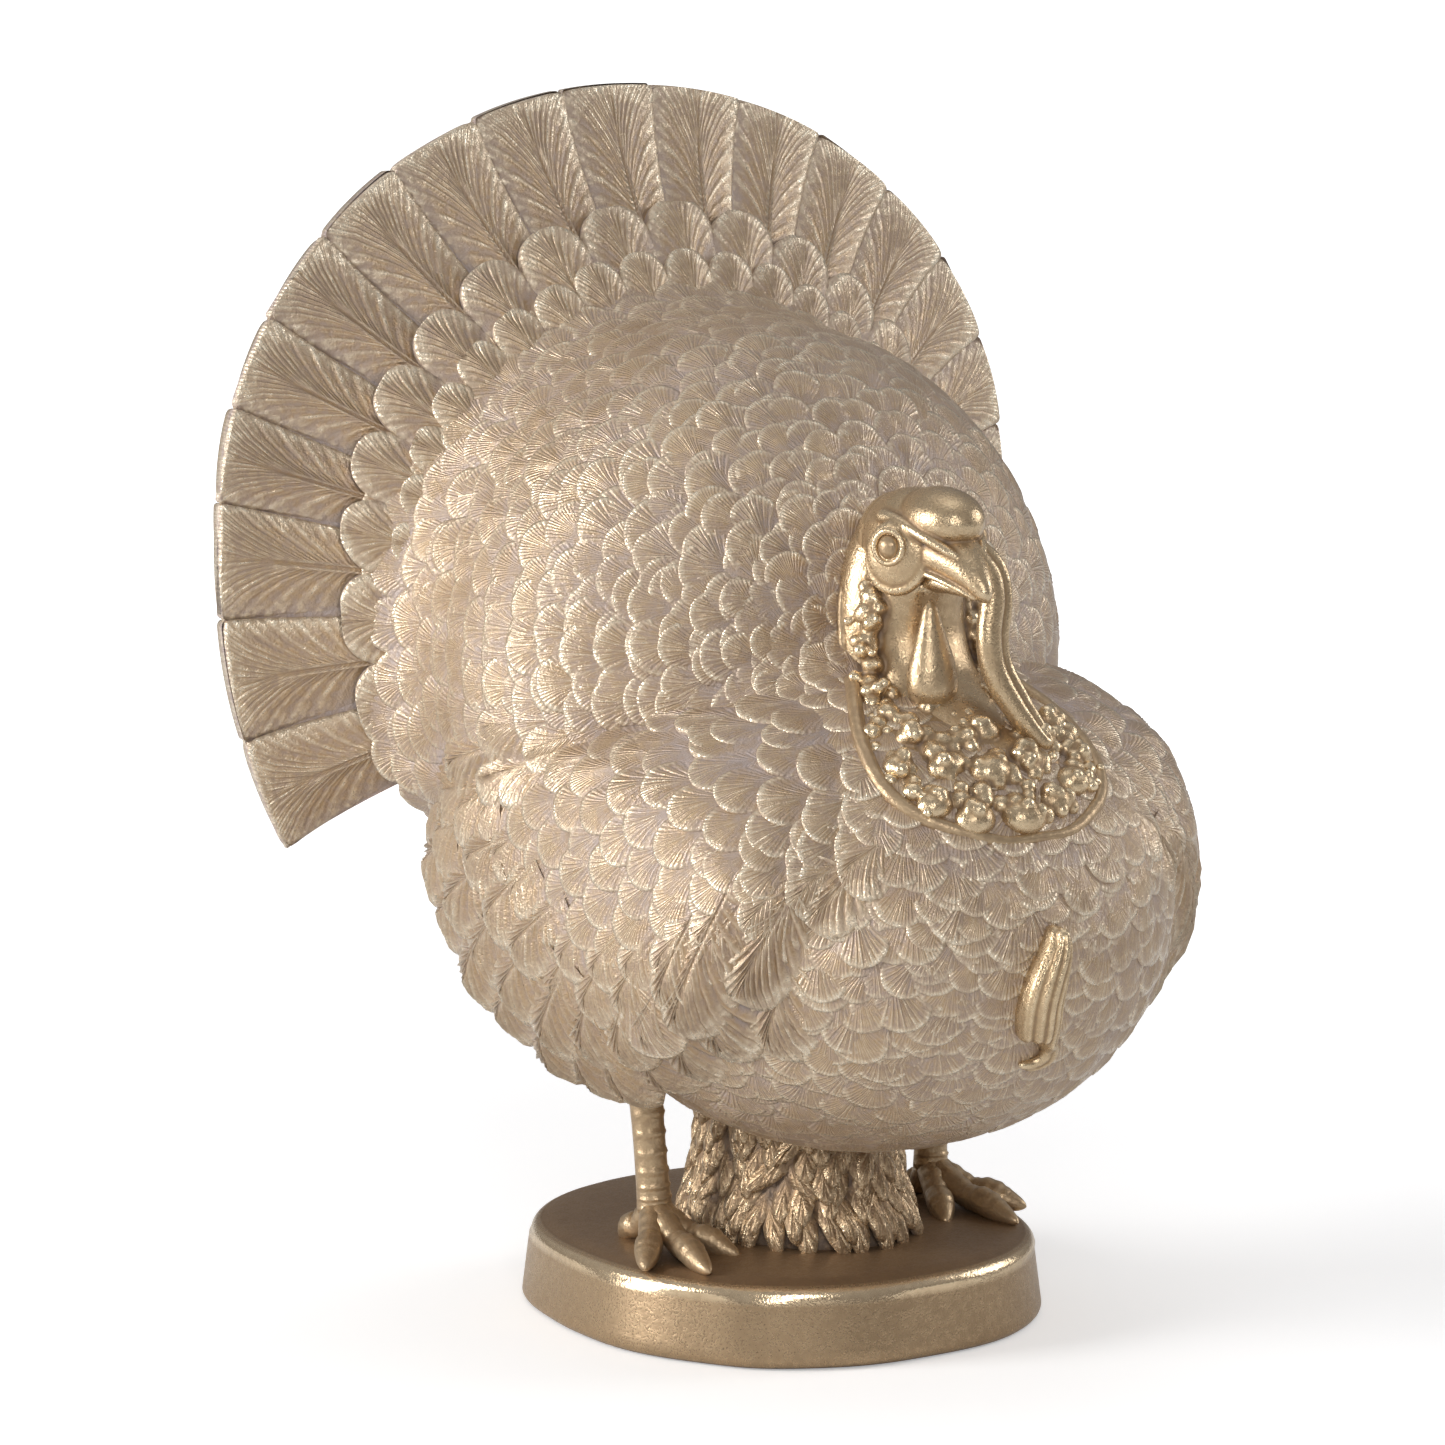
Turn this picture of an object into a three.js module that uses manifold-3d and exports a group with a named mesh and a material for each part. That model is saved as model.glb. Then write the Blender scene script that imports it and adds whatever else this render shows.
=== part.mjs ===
import * as THREE from 'three';
import { mergeVertices } from 'three/addons/utils/BufferGeometryUtils.js';
import Module from 'manifold-3d';

const wasm = await Module();
wasm.setup();

// A cast figure of a tom turkey in full strut on an oval plinth, in millimetres.
// The bird faces -Y, +Z is up, and the origin is the middle of the face that it stands on.

// Gap between glued castings, and between a pin and its hole
const jointGap = 0.3;

// Plinth and the felt sheet in the recess under it
const plinthHalfWidth = 71;
const plinthHalfLength = 77;
const plinthWallHeight = 24;
const plinthDraft = 2;
const plinthTopRound = 6;
const plinthFootRound = 2.5;
const plinthCrown = 3.5;
const plinthSquareness = 2.25;
const feltThickness = 1.5;
const feltProud = 0.4;
const feltInset = 7;

// Torso, the ball of breast and belly
const torsoHalfWidth = 84;
const torsoHalfLength = 98;
const torsoHalfHeight = 72;
const torsoY = -38;
const torsoZ = 130;

// Back, the dome from the neck to the tail
const backHalfWidth = 94;
const backHalfLength = 79;
const backHalfHeight = 100;
const backY = 20;
const backZ = 185;
const backScaleCount = 24;
const scaleRelief = 1.9;
const scaleFadeHeight = 10;

// Tail fan, a dish of broad feathers swept back towards its rim
const fanHalfWidth = 136;
const fanUpperRadius = 120;
const fanLowerRadius = 165;
const fanLowerFlare = 8;
const fanLean = 8;
const fanRimZ = 227;
const fanRimY = 86;
const fanHubZ = 202;
const fanDishDepth = 30;
const fanRimThickness = 4.5;
const fanRootThickness = 18;
const tailFeatherCount = 19;
const tailSpreadAngle = 250;
const tailFeatherGroove = 1.8;
const tailFeatherRidge = 1.1;

// Second row of feathers, lying on the tail fan
const covertFeatherCount = 18;
const covertThickness = 4;
const covertGroove = 1.6;

// Wings, drooping shells on the flanks, bounded by one bulging outer surface
const wingHalfWidth = 92;
const wingBulgeHalfLength = 116;
const wingBulgeHalfHeight = 80;
const wingBulgeY = -10;
const wingBulgeZ = 140;
const wingFullness = 2.6;
const wingInnerX = 50;
const wingFrontY = -110;
const wingBottomZ = 73;
const wingLength = 182;
const wingHeight = 109;
const wingRowRise = 1.2;

// Neck column, and the hood line that borders it
const neckBaseZ = 160;
const neckHeight = 70;
const neckY = -66;
const neckLean = 20;
const neckHalfWidth = 15;
const neckHalfDepth = 17;
const hoodRadius = 4;
const hoodHalfWidth = 36;
const hoodLift = 1.5;
const hoodSetback = 14;
const hoodLength = 74;
const hoodTopZ = 240;

// Head with beak
const headBackY = -54;
const headZ = 233;
const headLength = 48;
const headHalfWidth = 16.5;
const headHalfHeight = 18.5;
const eyeRadius = 3;
const eyeX = 14.6;
const eyeY = -75;
const eyeZ = 236;

// Snood, wattle and the bib of fleshy lumps
const snoodTopX = 1;
const snoodTopY = -84;
const snoodTopZ = 242;
const snoodDrop = 61;
const snoodReach = 25;
const snoodHalfWidth = 6;
const snoodHalfThickness = 4;
const wattleX = -7;
const wattleY = -85;
const wattleTopZ = 218;
const wattleDrop = 30;
const wattleHalfWidth = 7.8;
const wattleHalfDepth = 5;
const bibThickness = 4.5;
const bibHalfWidth = 28;
const bibHalfLength = 27;
const bibHalfHeight = 28;
const bibSetback = 38;
const bibZ = 172;
const lumpRadius = 6;

// Beard, a hooked tuft on the breast
const beardTopZ = 141;
const beardDrop = 50;
const beardHalfWidth = 5.6;
const beardHalfDepth = 5.4;

// Legs
const ankleX = 48;
const ankleY = -6;
const ankleHeight = 9;
const shankRadius = 4.3;
const shankLength = 62;
const shankLeanX = 3;
const shankLeanY = 4;
const toeLength = 38;
const toeRadius = 3.6;
const hindToeLength = 15;

// Tufts that carry the bird between its legs
const tuftHalfWidth = 31;
const tuftHalfLength = 39;
const tuftY = -8;
const tuftHeight = 62;
const tuftFootDepth = 4;

// Rods, dowels, pins and pegs inside
const centreDowelRadius = 5;
const centreDowelY = -6;
const centreDowelLength = 96;
const plinthSocketFloor = 9;
const legRodRadius = 1.6;
const legRodSink = 17;
const legRodLength = 100;
const saddleDowelRadius = 4;
const saddleDowelLength = 56;
const saddleDowelSink = 24;
const saddleDowelRearInset = 30;
const saddleDowelSpacing = 52;
const fanPinRadius = 1.8;
const fanPinRootY = 50;
const fanPinTipY = 67;
const fanPinAngle = 75;
const wingPegRadius = 2.5;
const wingPegDepth = 14;
const wingPegCover = 3;
const neckDowelRadius = 3;
const neckDowelRise = 42;
const neckDowelSink = 20;
const neckDowelY = -76;
const headPegRadius = 2.2;
const headPegLength = 18;
const headPegY = -74;

// How finely round forms are cut
const bodyColumns = 30;
const bodyRows = 18;
const plinthSides = 36;
const tuftSides = 20;
const pinSides = 8;
const limbSides = 8;
const neckSides = 14;
const headSides = 16;
const lumpRows = 6;

const at = (x, y, z) => new THREE.Vector3(x, y, z);
const turn = (degrees) => THREE.MathUtils.degToRad(degrees);

// A solid from points and corner triples, turned outwards if they run the other way.
function solidFromFaces(points, corners) {
  let volume = 0;
  for (let i = 0; i < corners.length; i += 3) {
    const [a, b, c] = [points[corners[i]], points[corners[i + 1]], points[corners[i + 2]]];
    volume += a.dot(b.clone().cross(c));
  }
  const facing = volume < 0 ? corners.slice().reverse() : corners;
  const mesh = new wasm.Mesh({
    numProp: 3,
    vertProperties: new Float32Array(points.flatMap((point) => point.toArray())),
    triVerts: new Uint32Array(facing),
  });
  return new wasm.Manifold(mesh);
}

// A solid from a closed three.js geometry.
function solidFromGeometry(geometry) {
  const bare = geometry.clone();
  bare.deleteAttribute('normal');
  bare.deleteAttribute('uv');
  const merged = mergeVertices(bare);
  const mesh = new wasm.Mesh({
    numProp: 3,
    vertProperties: merged.attributes.position.array,
    triVerts: new Uint32Array(merged.index.array),
  });
  return new wasm.Manifold(mesh);
}

function geometryFromSolid(solid) {
  const mesh = solid.getMesh();
  const geometry = new THREE.BufferGeometry();
  geometry.setAttribute('position', new THREE.BufferAttribute(mesh.vertProperties, 3));
  geometry.setIndex(new THREE.BufferAttribute(mesh.triVerts, 1));
  geometry.computeVertexNormals();
  return geometry;
}

// A closed body through rings of equally many points, closed at each end by a pole.
function loft(rings, firstPole, lastPole) {
  const sides = rings[0].length;
  const lastRing = (rings.length - 1) * sides;
  const poleIndex = rings.length * sides;
  const corners = [];
  for (let side = 0; side < sides; side += 1) {
    const next = (side + 1) % sides;
    for (let start = 0; start < lastRing; start += sides) {
      const far = start + sides;
      corners.push(start + side, start + next, far + next);
      corners.push(start + side, far + next, far + side);
    }
    corners.push(poleIndex, next, side);
    corners.push(poleIndex + 1, lastRing + side, lastRing + next);
  }
  return solidFromFaces([...rings.flat(), firstPole, lastPole], corners);
}

// An oval ring round a centre; a squareness above 2 fills out its corners.
function ovalRing(centre, across, deep, sides, squareness = 2) {
  const power = 2 / squareness;
  return Array.from({ length: sides }, (_, side) => {
    const angle = (side / sides) * 2 * Math.PI;
    const u = Math.sign(Math.cos(angle)) * Math.abs(Math.cos(angle)) ** power;
    const v = Math.sign(Math.sin(angle)) * Math.abs(Math.sin(angle)) ** power;
    return centre.clone().addScaledVector(across, u).addScaledVector(deep, v);
  });
}

// A limb through stations { centre, wide, deep }, its depth facing one way and its ends rounded.
function limb(stations, facing, sides, growth = 0, tipShare = 0.6) {
  const last = stations.length - 1;
  const alongAt = (i) => {
    const before = stations[Math.max(i - 1, 0)].centre;
    return stations[Math.min(i + 1, last)].centre.clone().sub(before).normalize();
  };
  const rings = stations.map(({ centre, wide, deep }, i) => {
    const along = alongAt(i);
    const depthAxis = facing.clone().addScaledVector(along, -facing.dot(along)).normalize();
    const widthAxis = along.clone().cross(depthAxis);
    widthAxis.multiplyScalar(wide + growth);
    return ovalRing(centre, widthAxis, depthAxis.multiplyScalar(deep + growth), sides);
  });
  const pole = (i, way) => {
    const { centre, deep } = stations[i];
    return centre.clone().addScaledVector(alongAt(i), way * (tipShare * deep + growth));
  };
  return loft(rings, pole(0, -1), pole(last, 1));
}

// A station of a limb that is as wide as it is deep.
const rounded = (centre, radius) => ({ centre, wide: radius, deep: radius });

// A closed body between two grids of points, [column][row], joined along their edges.
function sheetBody(front, back) {
  const columns = front.length;
  const rows = front[0].length;
  const backStart = columns * rows;
  const frontAt = (column, row) => column * rows + row;
  const backAt = (column, row) => backStart + frontAt(column, row);
  const corners = [];
  const quad = (a, b, c, d) => corners.push(a, b, c, a, c, d);
  for (let c = 0; c < columns - 1; c += 1) {
    for (let r = 0; r < rows - 1; r += 1) {
      quad(frontAt(c, r), frontAt(c + 1, r), frontAt(c + 1, r + 1), frontAt(c, r + 1));
      quad(backAt(c, r + 1), backAt(c + 1, r + 1), backAt(c + 1, r), backAt(c, r));
    }
    quad(backAt(c, 0), backAt(c + 1, 0), frontAt(c + 1, 0), frontAt(c, 0));
    quad(frontAt(c, rows - 1), frontAt(c + 1, rows - 1), backAt(c + 1, rows - 1), backAt(c, rows - 1));
  }
  for (let r = 0; r < rows - 1; r += 1) {
    const last = columns - 1;
    quad(frontAt(0, r), frontAt(0, r + 1), backAt(0, r + 1), backAt(0, r));
    quad(backAt(last, r), backAt(last, r + 1), frontAt(last, r + 1), frontAt(last, r));
  }
  return solidFromFaces([...front.flat(), ...back.flat()], corners);
}

// A ball stretched to three half sizes; a fullness above 2 fills out its corners.
function ellipsoid(halfSize, centre, columns, rows, growth = 0, fullness = 2) {
  const geometry = new THREE.SphereGeometry(1, columns, rows);
  geometry.rotateX(Math.PI / 2);
  const place = geometry.getAttribute('position');
  for (let i = 0; i < place.count; i += 1) {
    const point = new THREE.Vector3().fromBufferAttribute(place, i);
    const powers = point.toArray().map((part) => Math.abs(part) ** fullness);
    point.multiplyScalar((powers[0] + powers[1] + powers[2]) ** (-1 / fullness));
    place.setXYZ(i, point.x, point.y, point.z);
  }
  geometry.scale(halfSize.x + growth, halfSize.y + growth, halfSize.z + growth);
  geometry.translate(centre.x, centre.y, centre.z);
  return solidFromGeometry(geometry);
}

// A round bar between two points.
function bar(start, end, radius, growth = 0) {
  const along = end.clone().sub(start);
  const geometry = new THREE.CylinderGeometry(
    radius + growth,
    radius + growth,
    along.length() + 2 * growth,
    pinSides,
  );
  const lie = new THREE.Quaternion().setFromUnitVectors(at(0, 1, 0), along.clone().normalize());
  geometry.applyQuaternion(lie);
  const middle = start.clone().add(end).multiplyScalar(1 / 2);
  geometry.translate(middle.x, middle.y, middle.z);
  return solidFromGeometry(geometry);
}

const cutBy = (solid, ...tools) => tools.reduce((left, tool) => left.subtract(tool), solid);
const joined = (first, ...others) => others.reduce((sum, other) => sum.add(other), first);

// Plinth: underside, recess for the felt, rounded foot, drafted wall, rounded top edge and crown
const plinthUnderside = feltProud;
const plinthTopZ = plinthWallHeight + plinthCrown;

function plinthRing(inset, z, growth = 0) {
  const across = at(plinthHalfWidth - inset + growth, 0, 0);
  const deep = at(0, plinthHalfLength - inset + growth, 0);
  return ovalRing(at(0, 0, z), across, deep, plinthSides, plinthSquareness);
}

function plinthSolid(growth = 0) {
  const recessZ = feltThickness + jointGap;
  const recessInset = feltInset - jointGap;
  const rings = [
    plinthRing(recessInset, recessZ),
    plinthRing(recessInset, plinthUnderside),
    plinthRing(plinthFootRound, plinthUnderside, growth),
  ];
  const footShares = [0.3, 0.7, 1];
  footShares.forEach((share) => {
    const angle = (share * Math.PI) / 2;
    const inset = plinthFootRound * (1 - Math.sin(angle));
    rings.push(plinthRing(inset, plinthUnderside + plinthFootRound * (1 - Math.cos(angle)), growth));
  });
  const edgeShares = [0, 0.3, 0.65, 1];
  edgeShares.forEach((share) => {
    const angle = (share * Math.PI) / 2;
    const inset = plinthDraft + plinthTopRound * (1 - Math.cos(angle));
    const z = plinthWallHeight - plinthTopRound * (1 - Math.sin(angle));
    rings.push(plinthRing(inset, z + growth, growth));
  });
  const crownShares = [0.75, 0.45, 0.18];
  crownShares.forEach((share) => {
    const inset = (1 - share) * plinthHalfWidth;
    rings.push(plinthRing(inset, plinthTopZ - plinthCrown * share * share + growth));
  });
  return loft(rings, at(0, 0, recessZ), at(0, 0, plinthTopZ + growth));
}

function feltSolid() {
  const lower = plinthRing(feltInset, 0);
  const upper = plinthRing(feltInset, feltThickness);
  return loft([lower, upper], at(0, 0, 0), at(0, 0, feltThickness));
}

// Torso and back
const torsoSolid = (growth = 0) => ellipsoid(
  at(torsoHalfWidth, torsoHalfLength, torsoHalfHeight),
  at(0, torsoY, torsoZ),
  bodyColumns,
  bodyRows,
  growth,
);

// Rings round the back, by their angle from its front: smooth ones, and one at each row of scale tips.
const backFrontAngles = [8, 18];
const backRowAngles = [29, 42, 55, 68, 81, 94];
const backRearAngles = [108, 124, 140, 156, 170];
const scaleReachAngle = 2.5;
const scaleDropAngle = 1.5;

// A ring on the back; angleAt gives each side's angle from the front, and a lift fades out above the wings.
function backRing(angleAt, lift, growth) {
  const half = at(backHalfWidth + growth, backHalfLength + growth, backHalfHeight + growth);
  return Array.from({ length: 2 * backScaleCount }, (_, side) => {
    const around = (side / backScaleCount) * Math.PI;
    const angle = turn(angleAt(side));
    const spread = Math.sin(angle);
    const way = at(spread * Math.cos(around), -Math.cos(angle), spread * Math.sin(around));
    const overWing = backZ + way.z * backHalfHeight - (wingBottomZ + wingHeight);
    const fade = THREE.MathUtils.clamp(overWing / scaleFadeHeight, 0, 1);
    return way.clone().multiply(half).addScaledVector(way, fade * lift).add(at(0, backY, backZ));
  });
}

// Back: an oval dome with rows of scales that point away from the neck
function backSolid(growth = 0) {
  const smoothRing = (angle) => backRing(() => angle, 0, growth);
  const rows = backRowAngles.flatMap((rowAngle, row) => {
    const tipAt = (side) => rowAngle + scaleReachAngle * ((side + row) % 2 ? 1 : -1);
    return [
      backRing(tipAt, scaleRelief, growth),
      backRing((side) => tipAt(side) + scaleDropAngle, 0, growth),
    ];
  });
  const rings = [...backFrontAngles.map(smoothRing), ...rows, ...backRearAngles.map(smoothRing)];
  const reach = backHalfLength + growth;
  return loft(rings, at(0, backY - reach, backZ), at(0, backY + reach, backZ));
}

// Height of the torso's upper or lower surface over a place, as way is 1 or -1.
function torsoSurfaceZ(x, y, way) {
  const left = 1 - (x / torsoHalfWidth) ** 2 - ((y - torsoY) / torsoHalfLength) ** 2;
  return torsoZ + way * torsoHalfHeight * Math.sqrt(Math.max(left, 0));
}

// Half width of the torso at a length and height.
function torsoSurfaceX(y, z) {
  const left = 1 - ((y - torsoY) / torsoHalfLength) ** 2 - ((z - torsoZ) / torsoHalfHeight) ** 2;
  return torsoHalfWidth * Math.sqrt(Math.max(left, 0));
}

// Foremost place of the torso's surface, at a height and at its tip.
function breastY(z) {
  const left = 1 - ((z - torsoZ) / torsoHalfHeight) ** 2;
  return torsoY - torsoHalfLength * Math.sqrt(Math.max(left, 0));
}
const breastTipY = torsoY - torsoHalfLength;

// Foremost place of the back's surface at a width and height.
function backSurfaceY(x, z) {
  const left = 1 - (x / backHalfWidth) ** 2 - ((z - backZ) / backHalfHeight) ** 2;
  return backY - backHalfLength * Math.sqrt(Math.max(left, 0));
}

// The fan is laid out by an angle from straight up and a share from its hub, 0, to its rim, 1.
const fanWaistShare = 0.55;
const fanInnerShare = 0.42;
const dishPower = 1.6;

function fanFrontY(share) {
  return fanRimY - fanDishDepth * (Math.max(1 - share, 0) / (1 - fanWaistShare)) ** dishPower;
}

// Above the hub the fan leans back, and below its middle the feathers flare outwards.
function fanPoint(angle, share, y) {
  const rise = Math.cos(angle);
  const rimZ = fanRimZ + (rise > 0 ? fanUpperRadius : fanLowerRadius) * rise;
  const rimX = (fanHalfWidth + fanLowerFlare * Math.max(-rise, 0)) * Math.sin(angle);
  const lean = fanLean * Math.max(rise, 0) * share ** 2;
  return at(share * rimX, y + lean, fanHubZ + share * (rimZ - fanHubZ));
}

// Columns across a row of feathers: the angle of each and its place across its own feather.
function featherColumns(count, spread, placeShares) {
  const pitch = spread / count;
  const columns = [];
  for (let feather = 0; feather < count; feather += 1) {
    placeShares.forEach((place) => {
      columns.push({ angle: turn((feather + place) * pitch - spread / 2), place });
    });
  }
  columns.push({ angle: turn(spread / 2), place: 0 });
  return columns;
}

// Tail fan: broad feathers with square ends, each with a low ridge and a groove to the next
function tailFanSolid() {
  const placeShares = [0, 0.07, 0.5, 0.93];
  const rowShares = [fanInnerShare, 0.6, 0.77, 0.79, 0.985, 1];
  const smoothRows = 3;
  const columns = featherColumns(tailFeatherCount, tailSpreadAngle, placeShares);
  const notchShare = 0.975;
  const reachAt = (place) => (place === 0 ? notchShare : 1);
  const reliefAt = (place) => {
    if (place === 0) return tailFeatherGroove;
    return place === placeShares[2] ? -tailFeatherRidge : 0;
  };
  const front = columns.map(({ angle, place }) => rowShares.map((rowShare, row) => {
    const share = rowShare * (row < smoothRows ? 1 : reachAt(place));
    const relief = row < smoothRows ? 0 : reliefAt(place);
    return fanPoint(angle, share, fanFrontY(share) + relief);
  }));
  const back = columns.map(({ angle, place }) => rowShares.map((rowShare, row) => {
    const share = rowShare * (row < smoothRows ? 1 : reachAt(place));
    const rootness = (1 - share) / (1 - fanInnerShare);
    const thickness = fanRimThickness + (fanRootThickness - fanRimThickness) * rootness;
    return fanPoint(angle, share, fanFrontY(share) + thickness);
  }));
  return cutBy(sheetBody(front, back), backSolid(jointGap), ...fanPins().map((pin) => pin.hole));
}

// Second row: rounded feathers set half a feather over, lying on the fan
function covertFanSolid() {
  const placeShares = [0, 0.16, 0.5, 0.84];
  const rowShares = [0.62, 0.84, 0.97, 1];
  const covertReachShare = 0.77;
  const pitch = tailSpreadAngle / tailFeatherCount;
  const columns = featherColumns(covertFeatherCount, covertFeatherCount * pitch, placeShares);
  const roundingShare = 0.075;
  const tipDropShare = 0.35;
  const lastRow = rowShares.length - 1;
  const shareAt = (rowShare, place) => {
    const offCentre = Math.abs(2 * place - 1);
    return rowShare * covertReachShare * (1 - roundingShare * offCentre ** 3);
  };
  const thicknessAt = (row, place) => {
    const groove = place === 0 ? covertGroove : 0;
    const tipDrop = row === lastRow ? tipDropShare * covertThickness : 0;
    return covertThickness - groove - tipDrop;
  };
  const front = columns.map(({ angle, place }) => rowShares.map((rowShare, row) => {
    const share = shareAt(rowShare, place);
    return fanPoint(angle, share, fanFrontY(share) - jointGap - thicknessAt(row, place));
  }));
  const back = columns.map(({ angle, place }) => rowShares.map((rowShare) => {
    const share = shareAt(rowShare, place);
    return fanPoint(angle, share, fanFrontY(share) - 2 * jointGap);
  }));
  return cutBy(sheetBody(front, back), backSolid(jointGap));
}

// Wing: the bulging outer surface trimmed to the wing's outline, hollowed to fit the body
const wingOutlineShares = [
  [0.01, 0.71], [0.045, 0.5], [0.13, 0.275], [0.3, 0.1], [0.44, 0.02], [0.58, 0], [0.665, 0.02],
  [0.715, 0.085], [0.75, 0.12], [0.8, 0.21], [0.845, 0.24], [0.88, 0.32], [0.92, 0.37], [0.945, 0.47],
  [0.985, 0.52], [0.985, 0.595], [0.89, 0.69], [0.77, 0.8], [0.605, 0.9], [0.44, 0.98], [0.3, 1],
  [0.155, 0.95], [0.055, 0.83],
];
const shoulderShares = [0.1, 0.87];
const wingRowShares = [1, 0.82, 0.62, 0.42];

// Half width across the wings at a length and height.
function wingSurfaceX(y, z) {
  const along = Math.abs((y - wingBulgeY) / wingBulgeHalfLength) ** wingFullness;
  const up = Math.abs((z - wingBulgeZ) / wingBulgeHalfHeight) ** wingFullness;
  return wingHalfWidth * Math.max(1 - along - up, 0) ** (1 / wingFullness);
}

// One row of the wing's feathers: the outline drawn in towards the shoulder, on a swelled surface.
function wingRow(rowShare, rise) {
  const [shoulderAlong, shoulderUp] = shoulderShares;
  const outline = new THREE.Shape(wingOutlineShares.map(([along, up]) => (
    new THREE.Vector2(
      wingFrontY + (shoulderAlong + rowShare * (along - shoulderAlong)) * wingLength,
      wingBottomZ + (shoulderUp + rowShare * (up - shoulderUp)) * wingHeight,
    )
  )));
  const prism = new THREE.ExtrudeGeometry(outline, { depth: wingHalfWidth, bevelEnabled: false });
  prism.applyMatrix4(new THREE.Matrix4().makeBasis(at(0, 1, 0), at(0, 0, 1), at(1, 0, 0)));
  prism.translate(-wingHalfWidth - wingInnerX, 0, 0);
  const bulge = ellipsoid(
    at(wingHalfWidth, wingBulgeHalfLength, wingBulgeHalfHeight),
    at(0, wingBulgeY, wingBulgeZ),
    bodyColumns,
    bodyRows,
    rise,
    wingFullness,
  );
  return solidFromGeometry(prism).intersect(bulge);
}

function wingSolid() {
  return cutBy(
    joined(...wingRowShares.map((rowShare, row) => wingRow(rowShare, row * wingRowRise))),
    torsoSolid(jointGap),
    ...bothSides([backSolid(jointGap)]),
    shankLimb(jointGap),
    ...wingPegs().map((peg) => peg.hole),
  );
}

// Neck: a column leaning forward at its foot
const neckStationShares = [
  // up, forward, width, depth
  [0, 1, 1.75, 1.5],
  [0.25, 0.62, 1.4, 1.32],
  [0.45, 0.22, 1.12, 1.12],
  [0.65, 0, 1, 1],
  [0.85, 0.12, 0.92, 0.86],
  [1, 0.3, 0.8, 0.74],
];

function neckColumn(growth = 0) {
  const stations = neckStationShares.map(([up, forward, wide, deep]) => ({
    centre: at(0, neckY - forward * neckLean, neckBaseZ + up * neckHeight),
    wide: wide * neckHalfWidth,
    deep: deep * neckHalfDepth,
  }));
  return limb(stations, at(0, -1, 0), neckSides, growth);
}

function neckSolid() {
  return cutBy(
    neckColumn(),
    torsoSolid(jointGap),
    backSolid(jointGap),
    headSolid(jointGap),
    neckDowel().hole,
    headPeg().hole,
  );
}

// Hood line: a smooth lip that lies on the breast round the bib, then climbs the back beside the neck
const hoodOnBreastShares = [
  // across, back from the front, thickness
  [0.72, 0, 0.7],
  [0.9, 0.14, 0.95],
  [1, 0.34, 1],
  [0.9, 0.54, 1],
  [0.7, 0.7, 1],
];
const hoodOnBackShares = [
  // across, up from the breast to the top, thickness
  [0.52, 0.22, 0.9],
  [0.44, 0.5, 0.8],
  [0.4, 0.76, 0.75],
  [0.32, 0.93, 0.75],
  [0.14, 1, 0.75],
];

function hoodRim() {
  const side = (sign) => {
    const onBreast = hoodOnBreastShares.map(([across, back, thick]) => {
      const x = sign * across * hoodHalfWidth;
      const y = breastTipY + hoodSetback + back * hoodLength;
      return rounded(at(x, y, hoodLift + torsoSurfaceZ(x, y, 1)), thick * hoodRadius);
    });
    const start = onBreast[onBreast.length - 1].centre.z;
    const onBack = hoodOnBackShares.map(([across, up, thick]) => {
      const x = sign * across * hoodHalfWidth;
      const z = start + up * (hoodTopZ - start);
      return rounded(at(x, backSurfaceY(x, z) - hoodLift, z), thick * hoodRadius);
    });
    return [...onBreast, ...onBack];
  };
  return limb([...side(-1), ...side(1).reverse()], at(0, -1, 1), limbSides);
}

function hoodSolid() {
  return cutBy(
    hoodRim(),
    torsoSolid(jointGap),
    backSolid(jointGap),
    headSolid(jointGap),
    neckColumn(jointGap),
  );
}

// Head: skull and upper beak in one, with the lower beak under it
const headStationShares = [
  // along, up, width, height
  [0.03, 0, 0.42, 0.46],
  [0.11, 0.01, 0.7, 0.74],
  [0.23, 0.03, 0.9, 0.93],
  [0.38, 0.05, 1, 0.98],
  [0.53, 0.03, 0.92, 0.9],
  [0.64, -0.04, 0.72, 0.68],
  [0.74, -0.16, 0.5, 0.44],
  [0.85, -0.28, 0.37, 0.29],
  [0.94, -0.4, 0.24, 0.2],
  [0.985, -0.5, 0.12, 0.12],
];
const lowerBeakStationShares = [
  [0.5, -0.45, 0.5, 0.3],
  [0.66, -0.5, 0.4, 0.22],
  [0.8, -0.56, 0.28, 0.14],
  [0.88, -0.6, 0.16, 0.08],
];

const headStations = (shares) => shares.map(([along, up, wide, high]) => ({
  centre: at(0, headBackY - along * headLength, headZ + up * headHalfHeight),
  wide: wide * headHalfWidth,
  deep: high * headHalfHeight,
}));

function headSolid(growth = 0) {
  const skull = limb(headStations(headStationShares), at(0, 0, 1), headSides, growth);
  const jaw = limb(headStations(lowerBeakStationShares), at(0, 0, 1), limbSides, growth);
  return joined(skull, jaw);
}

const eyeBead = (side, growth = 0) => ellipsoid(
  at(eyeRadius, eyeRadius, eyeRadius),
  at(side * eyeX, eyeY, eyeZ),
  pinSides,
  limbSides,
  growth,
);

// Snood: from the forehead over the beak and down the bird's left side of it
const snoodStationShares = [
  // across, forward, down, width, thickness
  [0, 0.02, 0.05, 0.6, 0.7],
  [0.14, 0.28, 0.13, 0.85, 0.85],
  [0.26, 0.42, 0.22, 0.95, 0.95],
  [0.27, 0.48, 0.34, 1, 1],
  [0.2, 0.52, 0.5, 1, 1],
  [0.24, 0.56, 0.65, 1, 1],
  [0.4, 0.68, 0.8, 0.95, 0.95],
  [0.58, 0.86, 0.94, 0.7, 0.75],
  [0.69, 0.97, 1, 0.35, 0.45],
];

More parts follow.
